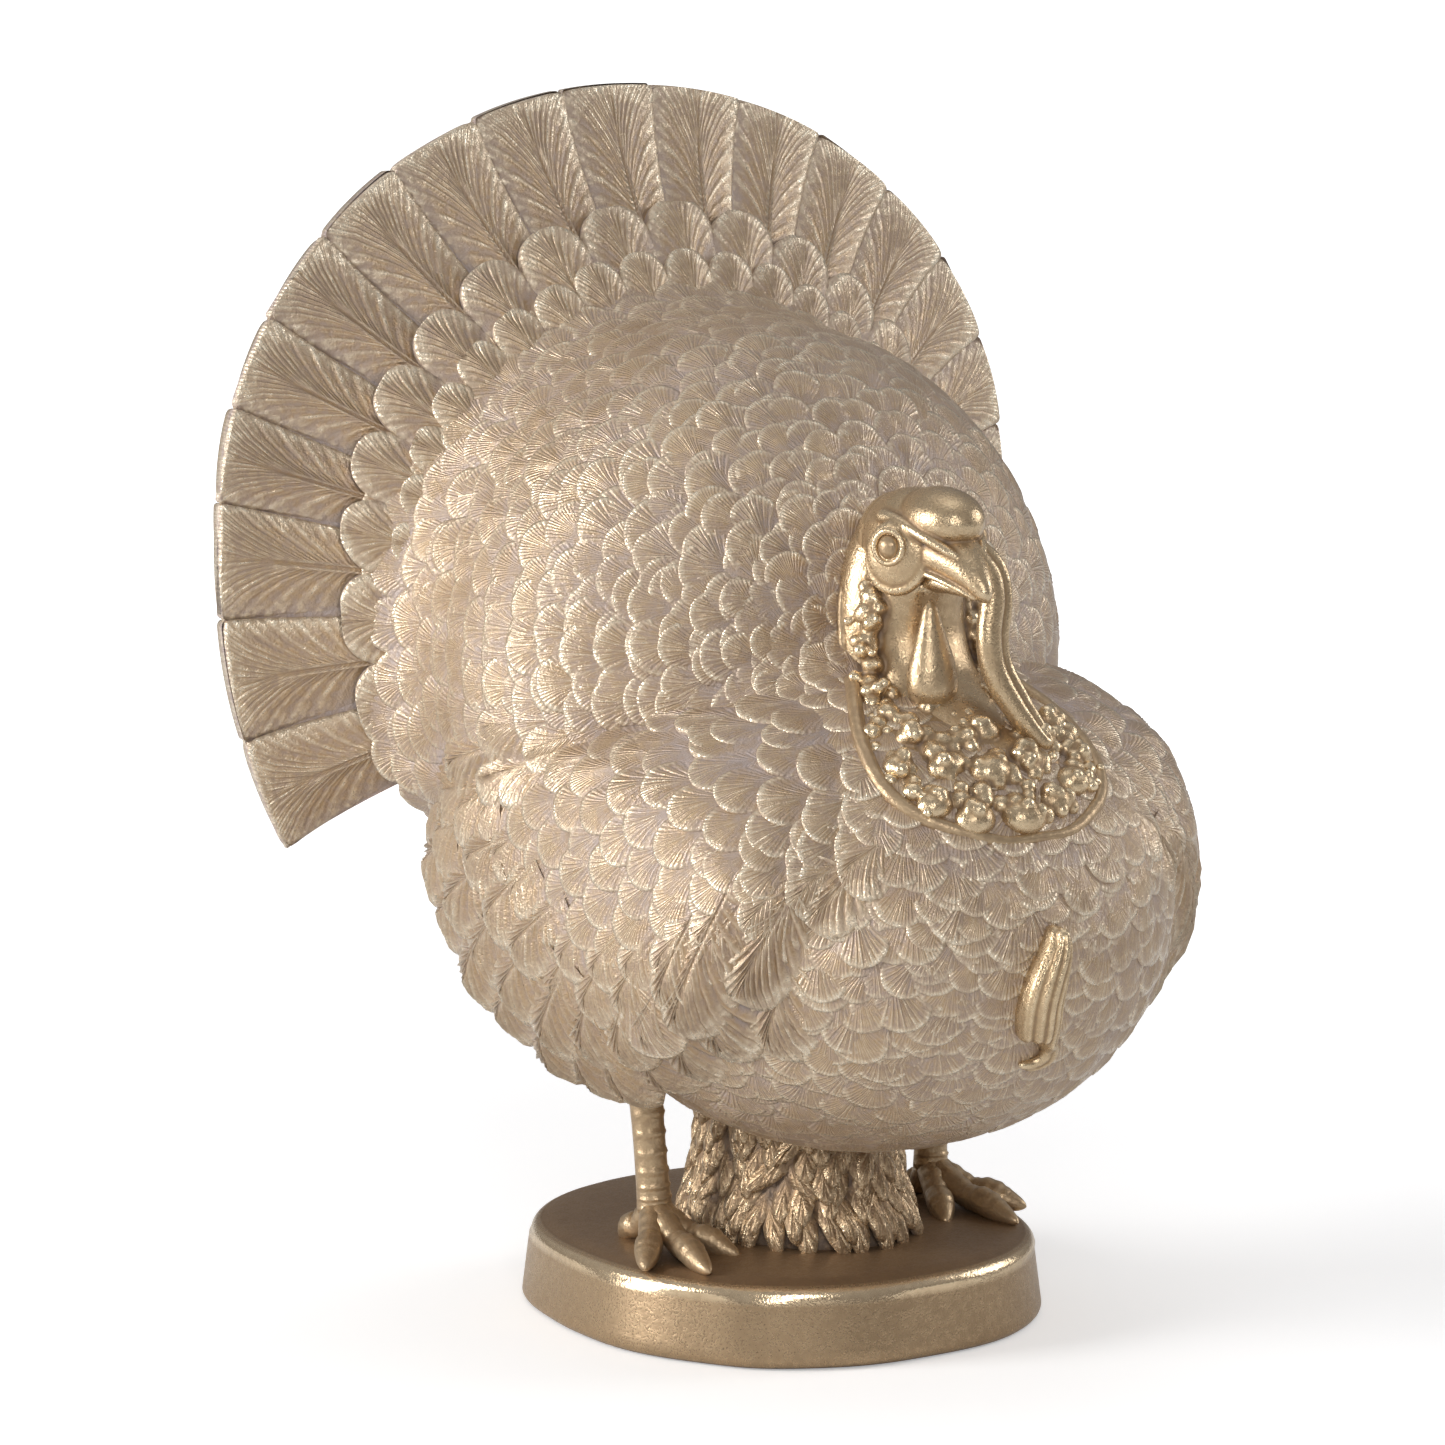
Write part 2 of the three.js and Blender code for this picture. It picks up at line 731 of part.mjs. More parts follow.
function snoodSolid(growth = 0) {
  const stations = snoodStationShares.map(([across, forward, down, wide, thick]) => ({
    centre: at(
      snoodTopX + across * snoodReach,
      snoodTopY - forward * snoodReach,
      snoodTopZ - down * snoodDrop,
    ),
    wide: wide * snoodHalfWidth,
    deep: thick * snoodHalfThickness,
  }));
  return limb(stations, at(0.5, -1, 0.35), limbSides, growth);
}

// Wattle: a drop hanging at the throat
const wattleStationShares = [
  // down, width
  [0, 0.4],
  [0.2, 0.62],
  [0.45, 0.85],
  [0.7, 1],
  [0.88, 0.8],
  [0.98, 0.4],
];

function wattleSolid(growth = 0) {
  const stations = wattleStationShares.map(([down, wide]) => ({
    centre: at(wattleX, wattleY, wattleTopZ - down * wattleDrop),
    wide: wide * wattleHalfWidth,
    deep: wide * wattleHalfDepth,
  }));
  return limb(stations, at(0, -1, 0), limbSides, growth);
}

// Bib: a skin that follows the breast, with fleshy lumps on it
const lumpPlaceShares = [
  // across, forward, size, each of the bib's half width, half length and the lump radius
  [-0.62, 0.34, 1.1],
  [-0.2, 0.5, 1.2],
  [0.3, 0.45, 1.15],
  [0.7, 0.2, 1],
  [-0.35, 0.02, 1],
  [0.2, 0, 1.1],
  [-0.75, -0.15, 0.9],
  [0.02, 0.82, 1.05],
  [-0.45, 0.72, 0.9],
  [0.48, 0.76, 0.85],
];

function caruncleSolid() {
  const bibY = breastTipY + bibSetback;
  const region = ellipsoid(
    at(bibHalfWidth, bibHalfLength, bibHalfHeight),
    at(0, bibY, bibZ),
    tuftSides,
    headSides,
  );
  const skin = torsoSolid(bibThickness).intersect(region);
  const lumps = lumpPlaceShares.map(([across, forward, size]) => {
    const x = across * bibHalfWidth;
    const y = bibY - forward * bibHalfLength;
    const radius = size * lumpRadius;
    return ellipsoid(at(radius, radius, radius), at(x, y, torsoSurfaceZ(x, y, 1)), limbSides, lumpRows);
  });
  return cutBy(
    joined(skin, ...lumps),
    torsoSolid(jointGap),
    neckColumn(jointGap),
    snoodSolid(jointGap),
    wattleSolid(jointGap),
  );
}

// Beard: it lies on the breast and hooks to the bird's right at its end
const beardStationShares = [
  // down, right, width
  [0, 0, 0.6],
  [0.2, 0, 0.85],
  [0.45, 0.04, 1],
  [0.68, 0.04, 0.95],
  [0.86, 0.12, 0.7],
  [0.97, 0.35, 0.35],
];

function beardSolid() {
  const stations = beardStationShares.map(([down, right, wide]) => {
    const z = beardTopZ - down * beardDrop;
    return {
      centre: at(-right * 2 * beardHalfWidth, breastY(z), z),
      wide: wide * beardHalfWidth,
      deep: wide * beardHalfDepth,
    };
  });
  return cutBy(limb(stations, at(0, -1, 0), limbSides), torsoSolid(jointGap));
}

// Right leg: shank, three front toes and a short hind toe, standing on the plinth
const ankle = at(-ankleX, ankleY, plinthTopZ + ankleHeight);
const shankEnd = ankle.clone().add(at(-shankLeanX, shankLeanY, shankLength));
const toeSpreadAngles = [-25, 8, 38];
const toeLengthShares = [0.76, 1, 0.78];
const hindToeAngle = 172;
const toeStationShares = [
  // along, up, thickness
  [0, 0.9, 1.1],
  [0.2, 0.62, 1.05],
  [0.42, 0.26, 0.95],
  [0.62, 0.2, 1.05],
  [0.8, -0.02, 0.85],
  [0.95, -0.15, 0.6],
];

function toeSolid(angle, length) {
  const heading = at(-Math.sin(turn(angle)), -Math.cos(turn(angle)), 0);
  const stations = toeStationShares.map(([along, up, thick]) => {
    const centre = at(ankle.x, ankle.y, plinthTopZ + up * ankleHeight);
    return rounded(centre.addScaledVector(heading, along * length), thick * toeRadius);
  });
  return limb(stations, at(0, 0, 1), limbSides);
}

function shankLimb(growth = 0) {
  const shankShares = [
    // along, thickness
    [0, 1.15],
    [0.12, 1],
    [0.4, 0.98],
    [0.7, 1.15],
    [1, 1.5],
  ];
  const stations = shankShares.map(([along, thick]) => (
    rounded(ankle.clone().lerp(shankEnd, along), thick * shankRadius)
  ));
  return limb(stations, at(0, -1, 0), limbSides, growth);
}

function legSolid() {
  const toes = toeSpreadAngles.map((angle, i) => toeSolid(angle, toeLengthShares[i] * toeLength));
  return cutBy(
    joined(shankLimb(), ...toes, toeSolid(hindToeAngle, hindToeLength)),
    plinthSolid(jointGap),
    torsoSolid(jointGap),
    legRod().hole,
  );
}

// Tuft column between the legs
const tuftStationShares = [
  // up, width
  [0, 1],
  [0.12, 0.98],
  [0.28, 0.86],
  [0.5, 0.8],
  [0.75, 0.84],
  [1, 0.92],
];

function tuftSolid() {
  const foot = plinthTopZ - tuftFootDepth;
  const stations = tuftStationShares.map(([up, wide]) => ({
    centre: at(0, tuftY, foot + up * tuftHeight),
    wide: wide * tuftHalfWidth,
    deep: wide * tuftHalfLength,
  }));
  const flatTipShare = 0.05;
  return cutBy(
    limb(stations, at(0, -1, 0), tuftSides, 0, flatTipShare),
    plinthSolid(jointGap),
    torsoSolid(jointGap),
    centreDowel().hole,
  );
}

// Each rod, dowel, pin or peg as { body, hole }
function pinned(start, end, radius) {
  return { body: bar(start, end, radius), hole: bar(start, end, radius, jointGap) };
}

function centreDowel() {
  const foot = at(0, centreDowelY, plinthSocketFloor);
  return pinned(foot, foot.clone().add(at(0, 0, centreDowelLength)), centreDowelRadius);
}

function legRod() {
  const along = shankEnd.clone().sub(ankle).normalize();
  const start = ankle.clone().addScaledVector(along, -legRodSink);
  return pinned(start, start.clone().addScaledVector(along, legRodLength), legRodRadius);
}

const saddleDowelRearY = torsoY + torsoHalfLength - saddleDowelRearInset;
const saddleDowelFrontY = saddleDowelRearY - saddleDowelSpacing;

function saddleDowel(y) {
  const start = at(0, y, torsoSurfaceZ(0, y, 1) - saddleDowelSink);
  return pinned(start, start.clone().add(at(0, 0, saddleDowelLength)), saddleDowelRadius);
}

function fanPins() {
  const rootShare = 0.36;
  const tipShare = 0.59;
  return [0, -fanPinAngle, fanPinAngle].map((angle) => {
    const start = fanPoint(turn(angle), rootShare, fanPinRootY);
    return pinned(start, fanPoint(turn(angle), tipShare, fanPinTipY), fanPinRadius);
  });
}

// Two pegs in the right wing, placed as shares of the wing's length and height.
function wingPegs() {
  const wingPegShares = [[0.33, 0.61], [0.575, 0.32]];
  return wingPegShares.map(([along, up]) => {
    const y = wingFrontY + along * wingLength;
    const z = wingBottomZ + up * wingHeight;
    const innerEnd = at(wingPegDepth - torsoSurfaceX(y, z), y, z);
    return pinned(innerEnd, at(wingPegCover - wingSurfaceX(y, z), y, z), wingPegRadius);
  });
}

function neckDowel() {
  const foot = at(0, neckDowelY, torsoSurfaceZ(0, neckDowelY, 1) - neckDowelSink);
  return pinned(foot, at(0, neckDowelY, neckBaseZ + neckDowelRise), neckDowelRadius);
}

function headPeg() {
  const middle = at(0, headPegY, headZ - headHalfHeight);
  const half = at(0, 0, headPegLength / 2);
  return pinned(middle.clone().sub(half), middle.clone().add(half), headPegRadius);
}

// The other half of a mirrored pair, as a cutting tool
const mirrorCut = (pin) => {
  const geometry = geometryFromSolid(pin);
  geometry.scale(-1, 1, 1);
  geometry.setIndex(Array.from(geometry.index.array).reverse());
  return solidFromGeometry(geometry);
};
const bothSides = (tools) => tools.flatMap((tool) => [tool, mirrorCut(tool)]);

function plinthCasting() {
  return cutBy(plinthSolid(), centreDowel().hole, ...bothSides([legRod().hole]));
}

function torsoCasting() {
  return cutBy(
    torsoSolid(),
    centreDowel().hole,
    saddleDowel(saddleDowelFrontY).hole,
    saddleDowel(saddleDowelRearY).hole,
    neckDowel().hole,
    ...bothSides([legRod().hole, ...wingPegs().map((peg) => peg.hole)]),
  );
}

function backCasting() {
  return cutBy(
    backSolid(),
    torsoSolid(jointGap),
    saddleDowel(saddleDowelFrontY).hole,
    saddleDowel(saddleDowelRearY).hole,
    ...fanPins().map((pin) => pin.hole),
  );
}

function headCasting() {
  const eyes = [eyeBead(-1, jointGap), eyeBead(1, jointGap)];
  return cutBy(headSolid(), backSolid(jointGap), ...eyes, headPeg().hole);
}

// Finishes
const paint = (color, roughness, metalness) => (
  new THREE.MeshStandardMaterial({ color, roughness, metalness })
);
const featherGold = () => paint('#b89b74', 0.5, 0.55);
const smoothGold = () => paint('#b98f55', 0.35, 0.75);
const steel = () => paint('#8d9094', 0.4, 1);
const felt = () => paint('#4a3b2c', 1, 0);

const figure = new THREE.Group();

function place(name, solid, material, mirrored = false) {
  const mesh = new THREE.Mesh(geometryFromSolid(solid), material);
  mesh.name = name;
  mesh.scale.x = mirrored ? -1 : 1;
  figure.add(mesh);
}

place('felt_pad', feltSolid(), felt());
place('base_plinth', plinthCasting(), smoothGold());
place('tuft_support', tuftSolid(), featherGold());
place('torso', torsoCasting(), featherGold());
place('back_saddle', backCasting(), featherGold());
place('tail_fan', tailFanSolid(), featherGold());
place('covert_fan', covertFanSolid(), featherGold());
place('neck', neckSolid(), smoothGold());
place('cape_rim', hoodSolid(), smoothGold());
place('head', headCasting(), smoothGold());
place('snood', cutBy(snoodSolid(), headSolid(jointGap)), smoothGold());
place('wattle', cutBy(wattleSolid(), headSolid(jointGap), neckColumn(jointGap)), smoothGold());
place('caruncle_collar', caruncleSolid(), smoothGold());
place('beard', beardSolid(), smoothGold());
place('centre_dowel', centreDowel().body, steel());
place('saddle_dowel_front', saddleDowel(saddleDowelFrontY).body, steel());
place('saddle_dowel_rear', saddleDowel(saddleDowelRearY).body, steel());
place('neck_dowel', neckDowel().body, steel());
place('head_peg', headPeg().body, steel());
['top', 'right', 'left'].forEach((side, i) => place(`fan_pin_${side}`, fanPins()[i].body, steel()));
[['right', false], ['left', true]].forEach(([side, mirrored]) => {
  place(`wing_${side}`, wingSolid(), featherGold(), mirrored);
  place(`leg_${side}`, legSolid(), smoothGold(), mirrored);
  place(`leg_rod_${side}`, legRod().body, steel(), mirrored);
  place(`eye_${side}`, eyeBead(-1), smoothGold(), mirrored);
  wingPegs().forEach((peg, i) => {
    place(`wing_peg_${side}_${['front', 'rear'][i]}`, peg.body, steel(), mirrored);
  });
});

export default figure;
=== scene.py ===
import math

import bpy
import numpy as np
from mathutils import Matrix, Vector


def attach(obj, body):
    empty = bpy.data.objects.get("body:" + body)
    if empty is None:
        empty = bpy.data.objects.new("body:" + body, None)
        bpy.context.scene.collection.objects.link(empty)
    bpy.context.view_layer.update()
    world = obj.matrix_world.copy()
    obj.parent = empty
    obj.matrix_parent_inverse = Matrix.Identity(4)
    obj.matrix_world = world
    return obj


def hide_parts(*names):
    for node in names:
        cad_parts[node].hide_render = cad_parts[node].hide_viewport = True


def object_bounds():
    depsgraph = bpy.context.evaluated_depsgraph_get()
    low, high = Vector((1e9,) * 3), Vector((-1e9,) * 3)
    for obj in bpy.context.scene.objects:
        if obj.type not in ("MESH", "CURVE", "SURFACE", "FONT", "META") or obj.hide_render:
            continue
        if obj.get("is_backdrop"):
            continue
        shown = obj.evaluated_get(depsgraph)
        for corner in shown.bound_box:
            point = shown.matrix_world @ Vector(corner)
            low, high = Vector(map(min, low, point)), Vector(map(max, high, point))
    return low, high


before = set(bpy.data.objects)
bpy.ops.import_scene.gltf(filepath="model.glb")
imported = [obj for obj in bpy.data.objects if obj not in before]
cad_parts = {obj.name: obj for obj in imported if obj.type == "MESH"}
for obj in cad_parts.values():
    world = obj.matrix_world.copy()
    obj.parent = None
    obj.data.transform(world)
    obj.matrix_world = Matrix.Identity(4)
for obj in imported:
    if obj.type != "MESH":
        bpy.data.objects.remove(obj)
cad_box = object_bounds()

# The figure is laid out in millimetres here and written to Blender in metres.
MM = 0.001
dice = np.random.default_rng(11)

# Main forms: centre, half sizes and fullness, as in the CAD
TORSO = ((0, -38, 130), (83, 97, 71), 2)
BACK = ((0, 20, 185), (93, 78, 99), 2)
WING = ((0, -10, 140), (91, 115, 79), 2.6)
BLEND = 14
WING_BLEND = 3
FLARE_BLEND = 36

# Tail fan
FAN_HALF_WIDTH = 136
FAN_UPPER = 120
FAN_LOWER = 165
FAN_FLARE = 8
FAN_LEAN = 8
FAN_RIM_Z = 227
FAN_RIM_Y = 86
FAN_HUB_Z = 202
FAN_DISH = 30
FAN_WAIST = 0.55
FAN_SPREAD = math.radians(250)
FAN_FEATHERS = 19
FAN_RIM_THICK = 4
FAN_ROOT_EXTRA = 13.5
FAN_ROOT_SPAN = 0.58

# Wing outline, as shares of its length and height
WING_FRONT_Y = -110
WING_BOTTOM_Z = 73
WING_LENGTH = 182
WING_HEIGHT = 109
WING_OUTLINE = np.array([
    [0.01, 0.71], [0.045, 0.5], [0.13, 0.275], [0.3, 0.1], [0.44, 0.02], [0.58, 0], [0.665, 0.02],
    [0.715, 0.085], [0.75, 0.12], [0.8, 0.21], [0.845, 0.24], [0.88, 0.32], [0.92, 0.37], [0.945, 0.47],
    [0.985, 0.52], [0.985, 0.595], [0.89, 0.69], [0.77, 0.8], [0.605, 0.9], [0.44, 0.98], [0.3, 1],
    [0.155, 0.95], [0.055, 0.83],
]) * (WING_LENGTH, WING_HEIGHT) + (WING_FRONT_Y, WING_BOTTOM_Z)
WING_MIDDLE = (-25, 130)
WING_POLE = (-150, 215)
WING_TOP = np.array([[110, 113], *WING_OUTLINE[-8:], *WING_OUTLINE[:4], [-25, 58]])
WING_TRAIL = np.array([[-70, 76], *WING_OUTLINE[4:16], [60, 160]])
WING_STEP = 3.4
WING_SLOPE = 16
SHOULDER_SINK = 3
WING_INNER_X = 45

PLINTH_HALF = (71, 77)
PLINTH_TOP = 27.5
PLINTH_FULLNESS = 2.25


def vec(*parts):
    return np.array(parts, float)


def unit(v):
    return v / np.maximum(np.linalg.norm(v, axis=-1, keepdims=True), 1e-9)


def circle(count, offset=0.0):
    """Evenly spaced turns round a circle, in radians."""
    return (np.arange(count) + offset) / count * 2 * math.pi


def rays(turns):
    return np.stack([np.cos(turns), np.sin(turns)], -1)


def signed_power(values, power):
    return np.sign(values) * np.abs(values) ** power


def facing_frame(facing):
    """The facing and, across it, the level and the upright way."""
    facing = unit(vec(*facing))
    level = unit(np.cross(vec(0, 0, 1), facing))
    return facing, level, np.cross(facing, level)


def on_side(stations, side):
    """Places or stations as listed, or in mirror image where side is -1."""
    return [(side * x, *rest) for x, *rest in stations]


def cap(a, b):
    """Height of a ball of radius 1 over a place in its equator's plane."""
    return np.sqrt(np.maximum(1 - a ** 2 - b ** 2, 0))


def smooth(low, high, value):
    share = np.clip((value - low) / (high - low), 0, 1)
    return share * share * (3 - 2 * share)


# Fields: roughly the distance in mm from a form's surface, negative inside

def oval(p, centre, half, fullness=2):
    q = np.abs((p - vec(*centre)) / vec(*half))
    size = np.maximum((q ** fullness).sum(-1) ** (1 / fullness), 1e-6)
    slope = (q / size[..., None]) ** (fullness - 1) / vec(*half)
    return (size - 1) / np.linalg.norm(slope, axis=-1)


def merge(a, b, width):
    share = np.clip(0.5 + 0.5 * (b - a) / width, 0, 1)
    return b + (a - b) * share - width * share * (1 - share)


def body_field(p):
    return merge(oval(p, *TORSO), oval(p, *BACK), BLEND)


def past_edge(y, z, corners=WING_TOP):
    """Distance beyond part of the wing's outline, negative inside."""
    nearest = np.full(y.shape, 1e6)
    signed = np.full(y.shape, 1e6)
    for (y0, z0), (y1, z1) in zip(corners[:-1], corners[1:]):
        dy, dz = y1 - y0, z1 - z0
        t = np.clip(((y - y0) * dy + (z - z0) * dz) / (dy * dy + dz * dz), 0, 1)
        off_y, off_z = y - y0 - t * dy, z - z0 - t * dz
        gap = np.hypot(off_y, off_z)
        closer = gap < nearest
        nearest = np.where(closer, gap, nearest)
        signed = np.where(closer, gap * np.sign(dz * off_y - dy * off_z), signed)
    return signed


def wing_field(p):
    """The right wing's surface with the body's: it slopes down to its edge and steps up from row to row."""
    y, z = p[..., 1], p[..., 2]
    past = past_edge(y, z)
    sink = np.clip(past + WING_SLOPE, 0, WING_SLOPE) ** 2 / (2 * WING_SLOPE) + np.maximum(past, 0)
    sink = sink * (0.3 + 0.7 * smooth(50, -30, y))
    sink = sink + SHOULDER_SINK * smooth(0, 60, -y) * smooth(140, 178, z)
    sink = sink - WING_STEP * smooth(6, 55, np.abs(past_edge(y, z, WING_TRAIL)))
    return merge(body_field(p), oval(p, *WING) + sink, WING_BLEND)


def gradient(field, p, step=0.4):
    sides = [field(p + step * axis) - field(p - step * axis) for axis in np.eye(3)]
    return np.stack(sides, -1) / (2 * step)


def slope_of(field, p):
    return unit(gradient(field, p))


def onto(field, p, turns=4):
    """Moves places to the field's surface, by Newton's steps along its slope."""
    for _ in range(turns):
        slope = gradient(field, p)
        steep = np.maximum((slope ** 2).sum(-1), 0.3)
        p = p - slope * (field(p) / steep)[..., None]
    return p


# The tail fan's surface, and the back's where it flares into the fan

def fan_y(share):
    return FAN_RIM_Y - FAN_DISH * (np.maximum(1 - share, 0) / (1 - FAN_WAIST)) ** 1.6


def fan_point(angle, share, back=0):
    rise = np.cos(angle)
    rim_z = FAN_RIM_Z + np.where(rise > 0, FAN_UPPER, FAN_LOWER) * rise
    rim_x = (FAN_HALF_WIDTH + FAN_FLARE * np.maximum(-rise, 0)) * np.sin(angle)
    y = fan_y(share) + back + FAN_LEAN * np.maximum(rise, 0) * share ** 2
    return np.stack([share * rim_x, y, FAN_HUB_Z + share * (rim_z - FAN_HUB_Z)], -1)


RIM_ANGLE = np.linspace(-math.pi, math.pi, 721)
RIM = fan_point(RIM_ANGLE, 1.0) - vec(0, 0, FAN_HUB_Z)
RIM_BEARING = np.arctan2(RIM[:, 0], RIM[:, 2])
RIM_BEARING[0] = -math.pi
RIM_RADIUS = np.hypot(RIM[:, 0], RIM[:, 2])
END_BEARING = np.interp(FAN_SPREAD / 2, RIM_ANGLE, RIM_BEARING)


def fan_share(p):
    """Share from the hub to the rim, and bearing round the hub, of places seen from the front."""
    x, z = p[..., 0], p[..., 2] - FAN_HUB_Z
    bearing = np.arctan2(x, z)
    return np.hypot(x, z) / np.interp(bearing, RIM_BEARING, RIM_RADIUS), bearing


def fan_field(p):
    share, bearing = fan_share(p)
    angle = np.interp(bearing, RIM_BEARING, RIM_ANGLE)
    front = fan_y(share) + FAN_LEAN * np.maximum(np.cos(angle), 0) * share ** 2
    beyond = np.maximum(np.abs(bearing) - END_BEARING, 0) * 60
    return (front - p[..., 1]) * 0.85 + beyond


def flare_field(p):
    return merge(body_field(p), fan_field(p), FLARE_BLEND)


# Castings: meshes gathered from grids of points, with their paint

UNDERCOAT = (0.1, 0.9, 0.5, 0)


class Casting:
    """Collects grids of points (rows, columns, 3); paint holds gilt, wash, tone and strand, where gilt also
    carries painted highlights and wash also carries painted shade.
    """

    def __init__(self):
        self.points = []
        self.paint = []
        self.quads = []
        self.count = 0

    def grids(self, points, paint, wrap=False):
        number, rows, columns = points.shape[:3]
        index = np.arange(number * rows * columns).reshape(number, rows, columns) + self.count
        if wrap:
            index = np.concatenate([index, index[:, :, :1]], 2)
        quads = [index[:, :-1, :-1], index[:, :-1, 1:], index[:, 1:, 1:], index[:, 1:, :-1]]
        self.quads.append(np.stack(quads, -1).reshape(-1, 4))
        self.points.append(points.reshape(-1, 3))
        self.paint.append(np.broadcast_to(paint, points.shape[:3] + (4,)).reshape(-1, 4))
        self.count += number * rows * columns

    def grid(self, points, paint=(0.3, 0.2, 0.5, 0), wrap=False):
        paint = np.asarray(paint, float)
        self.grids(points[None], paint[None] if paint.ndim > 1 else paint, wrap)

    def mirrored(self):
        other = Casting()
        other.points = [p * (-1, 1, 1) for p in self.points]
        other.paint = list(self.paint)
        other.quads = [q[:, ::-1] for q in self.quads]
        return other

    def mesh(self, name):
        points = np.concatenate(self.points) * MM
        quads = np.concatenate(self.quads)
        mesh = bpy.data.meshes.new(name)
        mesh.vertices.add(len(points))
        mesh.vertices.foreach_set("co", points.ravel())
        mesh.loops.add(quads.size)
        mesh.loops.foreach_set("vertex_index", quads.ravel().astype(np.int32))
        mesh.polygons.add(len(quads))
        mesh.polygons.foreach_set("loop_start", np.arange(0, quads.size, 4, dtype=np.int32))
        mesh.update(calc_edges=True)
        mesh.validate()
        return mesh

    def piece(self, name, material, slot, *nodes):
        finish(self.mesh(name), np.concatenate(self.paint), material, slot, nodes)

    def fused(self, name, material, slot, *nodes, voxel=0.5, turns=5):
        """The castings' shapes melted into one skin, gilded on its crests and washed in its hollows."""
        mesh = self.mesh(name + "_raw")
        shape = bpy.data.objects.new(name + "_raw", mesh)
        bpy.context.scene.collection.objects.link(shape)
        remesh = shape.modifiers.new("remesh", "REMESH")
        remesh.mode = "VOXEL"
        remesh.voxel_size = voxel * MM
        soft = shape.modifiers.new("soft", "SMOOTH")
        soft.iterations = turns
        graph = bpy.context.evaluated_depsgraph_get()
        skin = bpy.data.meshes.new_from_object(shape.evaluated_get(graph))
        skin.name = name
        bpy.data.objects.remove(shape)
        bpy.data.meshes.remove(mesh)
        finish(skin, hollow_paint(skin), material, slot, nodes)


def finish(mesh, paint, material, slot, nodes):
    mesh.shade_smooth()
    layer = mesh.attributes.new("paint", "FLOAT_VECTOR", "POINT")
    layer.data.foreach_set("vector", paint[:, :3].astype(np.float32).ravel())
    strand = mesh.attributes.new("strand", "FLOAT", "POINT")
    strand.data.foreach_set("value", paint[:, 3].astype(np.float32))
    mesh.materials.clear()
    mesh.materials.append(material)
    shape = bpy.data.objects.new(mesh.name, mesh)
    bpy.context.scene.collection.objects.link(shape)
    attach(shape, "root")
    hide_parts(*nodes)


def hollow_paint(mesh):
    """Paint from how each point of a skin stands out from the points around it."""
    number = len(mesh.vertices)
    place = np.empty(number * 3)
    normal = np.empty(number * 3)
    ends = np.empty(len(mesh.edges) * 2, np.int32)
    mesh.vertices.foreach_get("co", place)
    mesh.vertices.foreach_get("normal", normal)
    mesh.edges.foreach_get("vertices", ends)
    place, normal, ends = place.reshape(-1, 3) / MM, normal.reshape(-1, 3), ends.reshape(-1, 2)
    degree = np.bincount(ends.ravel(), minlength=number)[:, None].clip(1)

    def around(values):
        total = np.zeros(values.shape)
        for axis in range(values.shape[1]):
            total[:, axis] = np.bincount(ends[:, 0], values[ends[:, 1], axis], number)
            total[:, axis] += np.bincount(ends[:, 1], values[ends[:, 0], axis], number)
        return total / degree

    even = place
    for _ in range(4):
        even = around(even)
    stand = ((place - even) * normal).sum(1, keepdims=True)
    for _ in range(2):
        stand = around(stand)
    gilt = np.clip(0.3 + 4.5 * stand, 0, 1)
    wash = np.clip(0.1 - 5 * stand, 0, 1)
    return np.concatenate([gilt, wash, np.full((number, 1), 0.5), np.zeros((number, 1))], 1)


# Feathers

class Feather:
    """One feather's form: rows follow the barbs, which leave the quill and run to the edge.

    across runs from -1 to 1 and along from 0, the root, to 1, the tip.
    """

    def __init__(
        self, barbs, squareness, side_share, root_share, quill_reach, across_shares, vivid=(0.7, 1.3), lean=0,
    ):
        self.vivid = vivid
        s = np.linspace(0, 1, 4 * barbs + 1)
        turn = np.linspace(0, math.pi / 2, 120)
        side = np.stack([np.linspace(root_share, 1, 60), np.linspace(0, side_share, 60)], -1)
        tip = np.stack([
            np.cos(turn) ** (2 / squareness),
            side_share + (1 - side_share) * np.sin(turn) ** (2 / squareness),
        ], -1)
        edge = np.concatenate([side, tip[1:]])
        run = np.concatenate([[0], np.cumsum(np.linalg.norm(np.diff(edge, axis=0), axis=1))])
        run /= run[-1]
        half = np.asarray(across_shares, float)
        t = np.concatenate([-half[::-1], half[1:]])
        reach = np.abs(t)[None, :]
        e_x = np.interp(s, run, edge[:, 0])[:, None]
        e_y = np.interp(s, run, edge[:, 1])[:, None]
        r_y = quill_reach * s[:, None]
        c_x = 0.42 * e_x
        c_y = r_y + 0.72 * (e_y - r_y)
        across = 2 * reach * (1 - reach) * c_x + reach ** 2 * e_x
        across = np.sign(t)[None, :] * across
        self.across = across + lean * (1 - np.abs(across / np.maximum(e_x, 1e-6)))
        self.along = (1 - reach) ** 2 * r_y + 2 * reach * (1 - reach) * c_y + reach ** 2 * e_y
        phase = 2 * math.pi * barbs * s[:, None]
        band = smooth(0.05, 0.25, reach) * (1 - smooth(0.84, 0.97, reach))
        uneven = 0.65 + 0.35 * np.sin(0.73 * phase + 1)
        self.groove = np.cos(phase) * band * uneven
        self.rim = smooth(0.8, 0.93, reach) * np.ones_like(across)
        spine = np.abs(across)
        self.quill = np.exp(-((spine - 0.06) / 0.025) ** 2) * (1 - smooth(0.5, 0.85, self.along))
        self.pillow = (1 - np.abs(self.across) ** 2.4) * (1 - smooth(0.72, 1.0, self.along) ** 2 * 0.7)
        self.strand = np.broadcast_to(barbs * s[:, None], across.shape)
        self.skirted()

    def skirted(self):
        """Repeats the first and last columns, for the edge that drops to the surface."""
        for name in ("across", "along", "groove", "rim", "quill", "pillow", "strand"):
            grid = getattr(self, name)
            setattr(self, name, np.concatenate([grid[:, :1], grid, grid[:, -1:]], 1))
        self.skirt = np.zeros(self.across.shape)
        self.skirt[:, [0, -1]] = 1


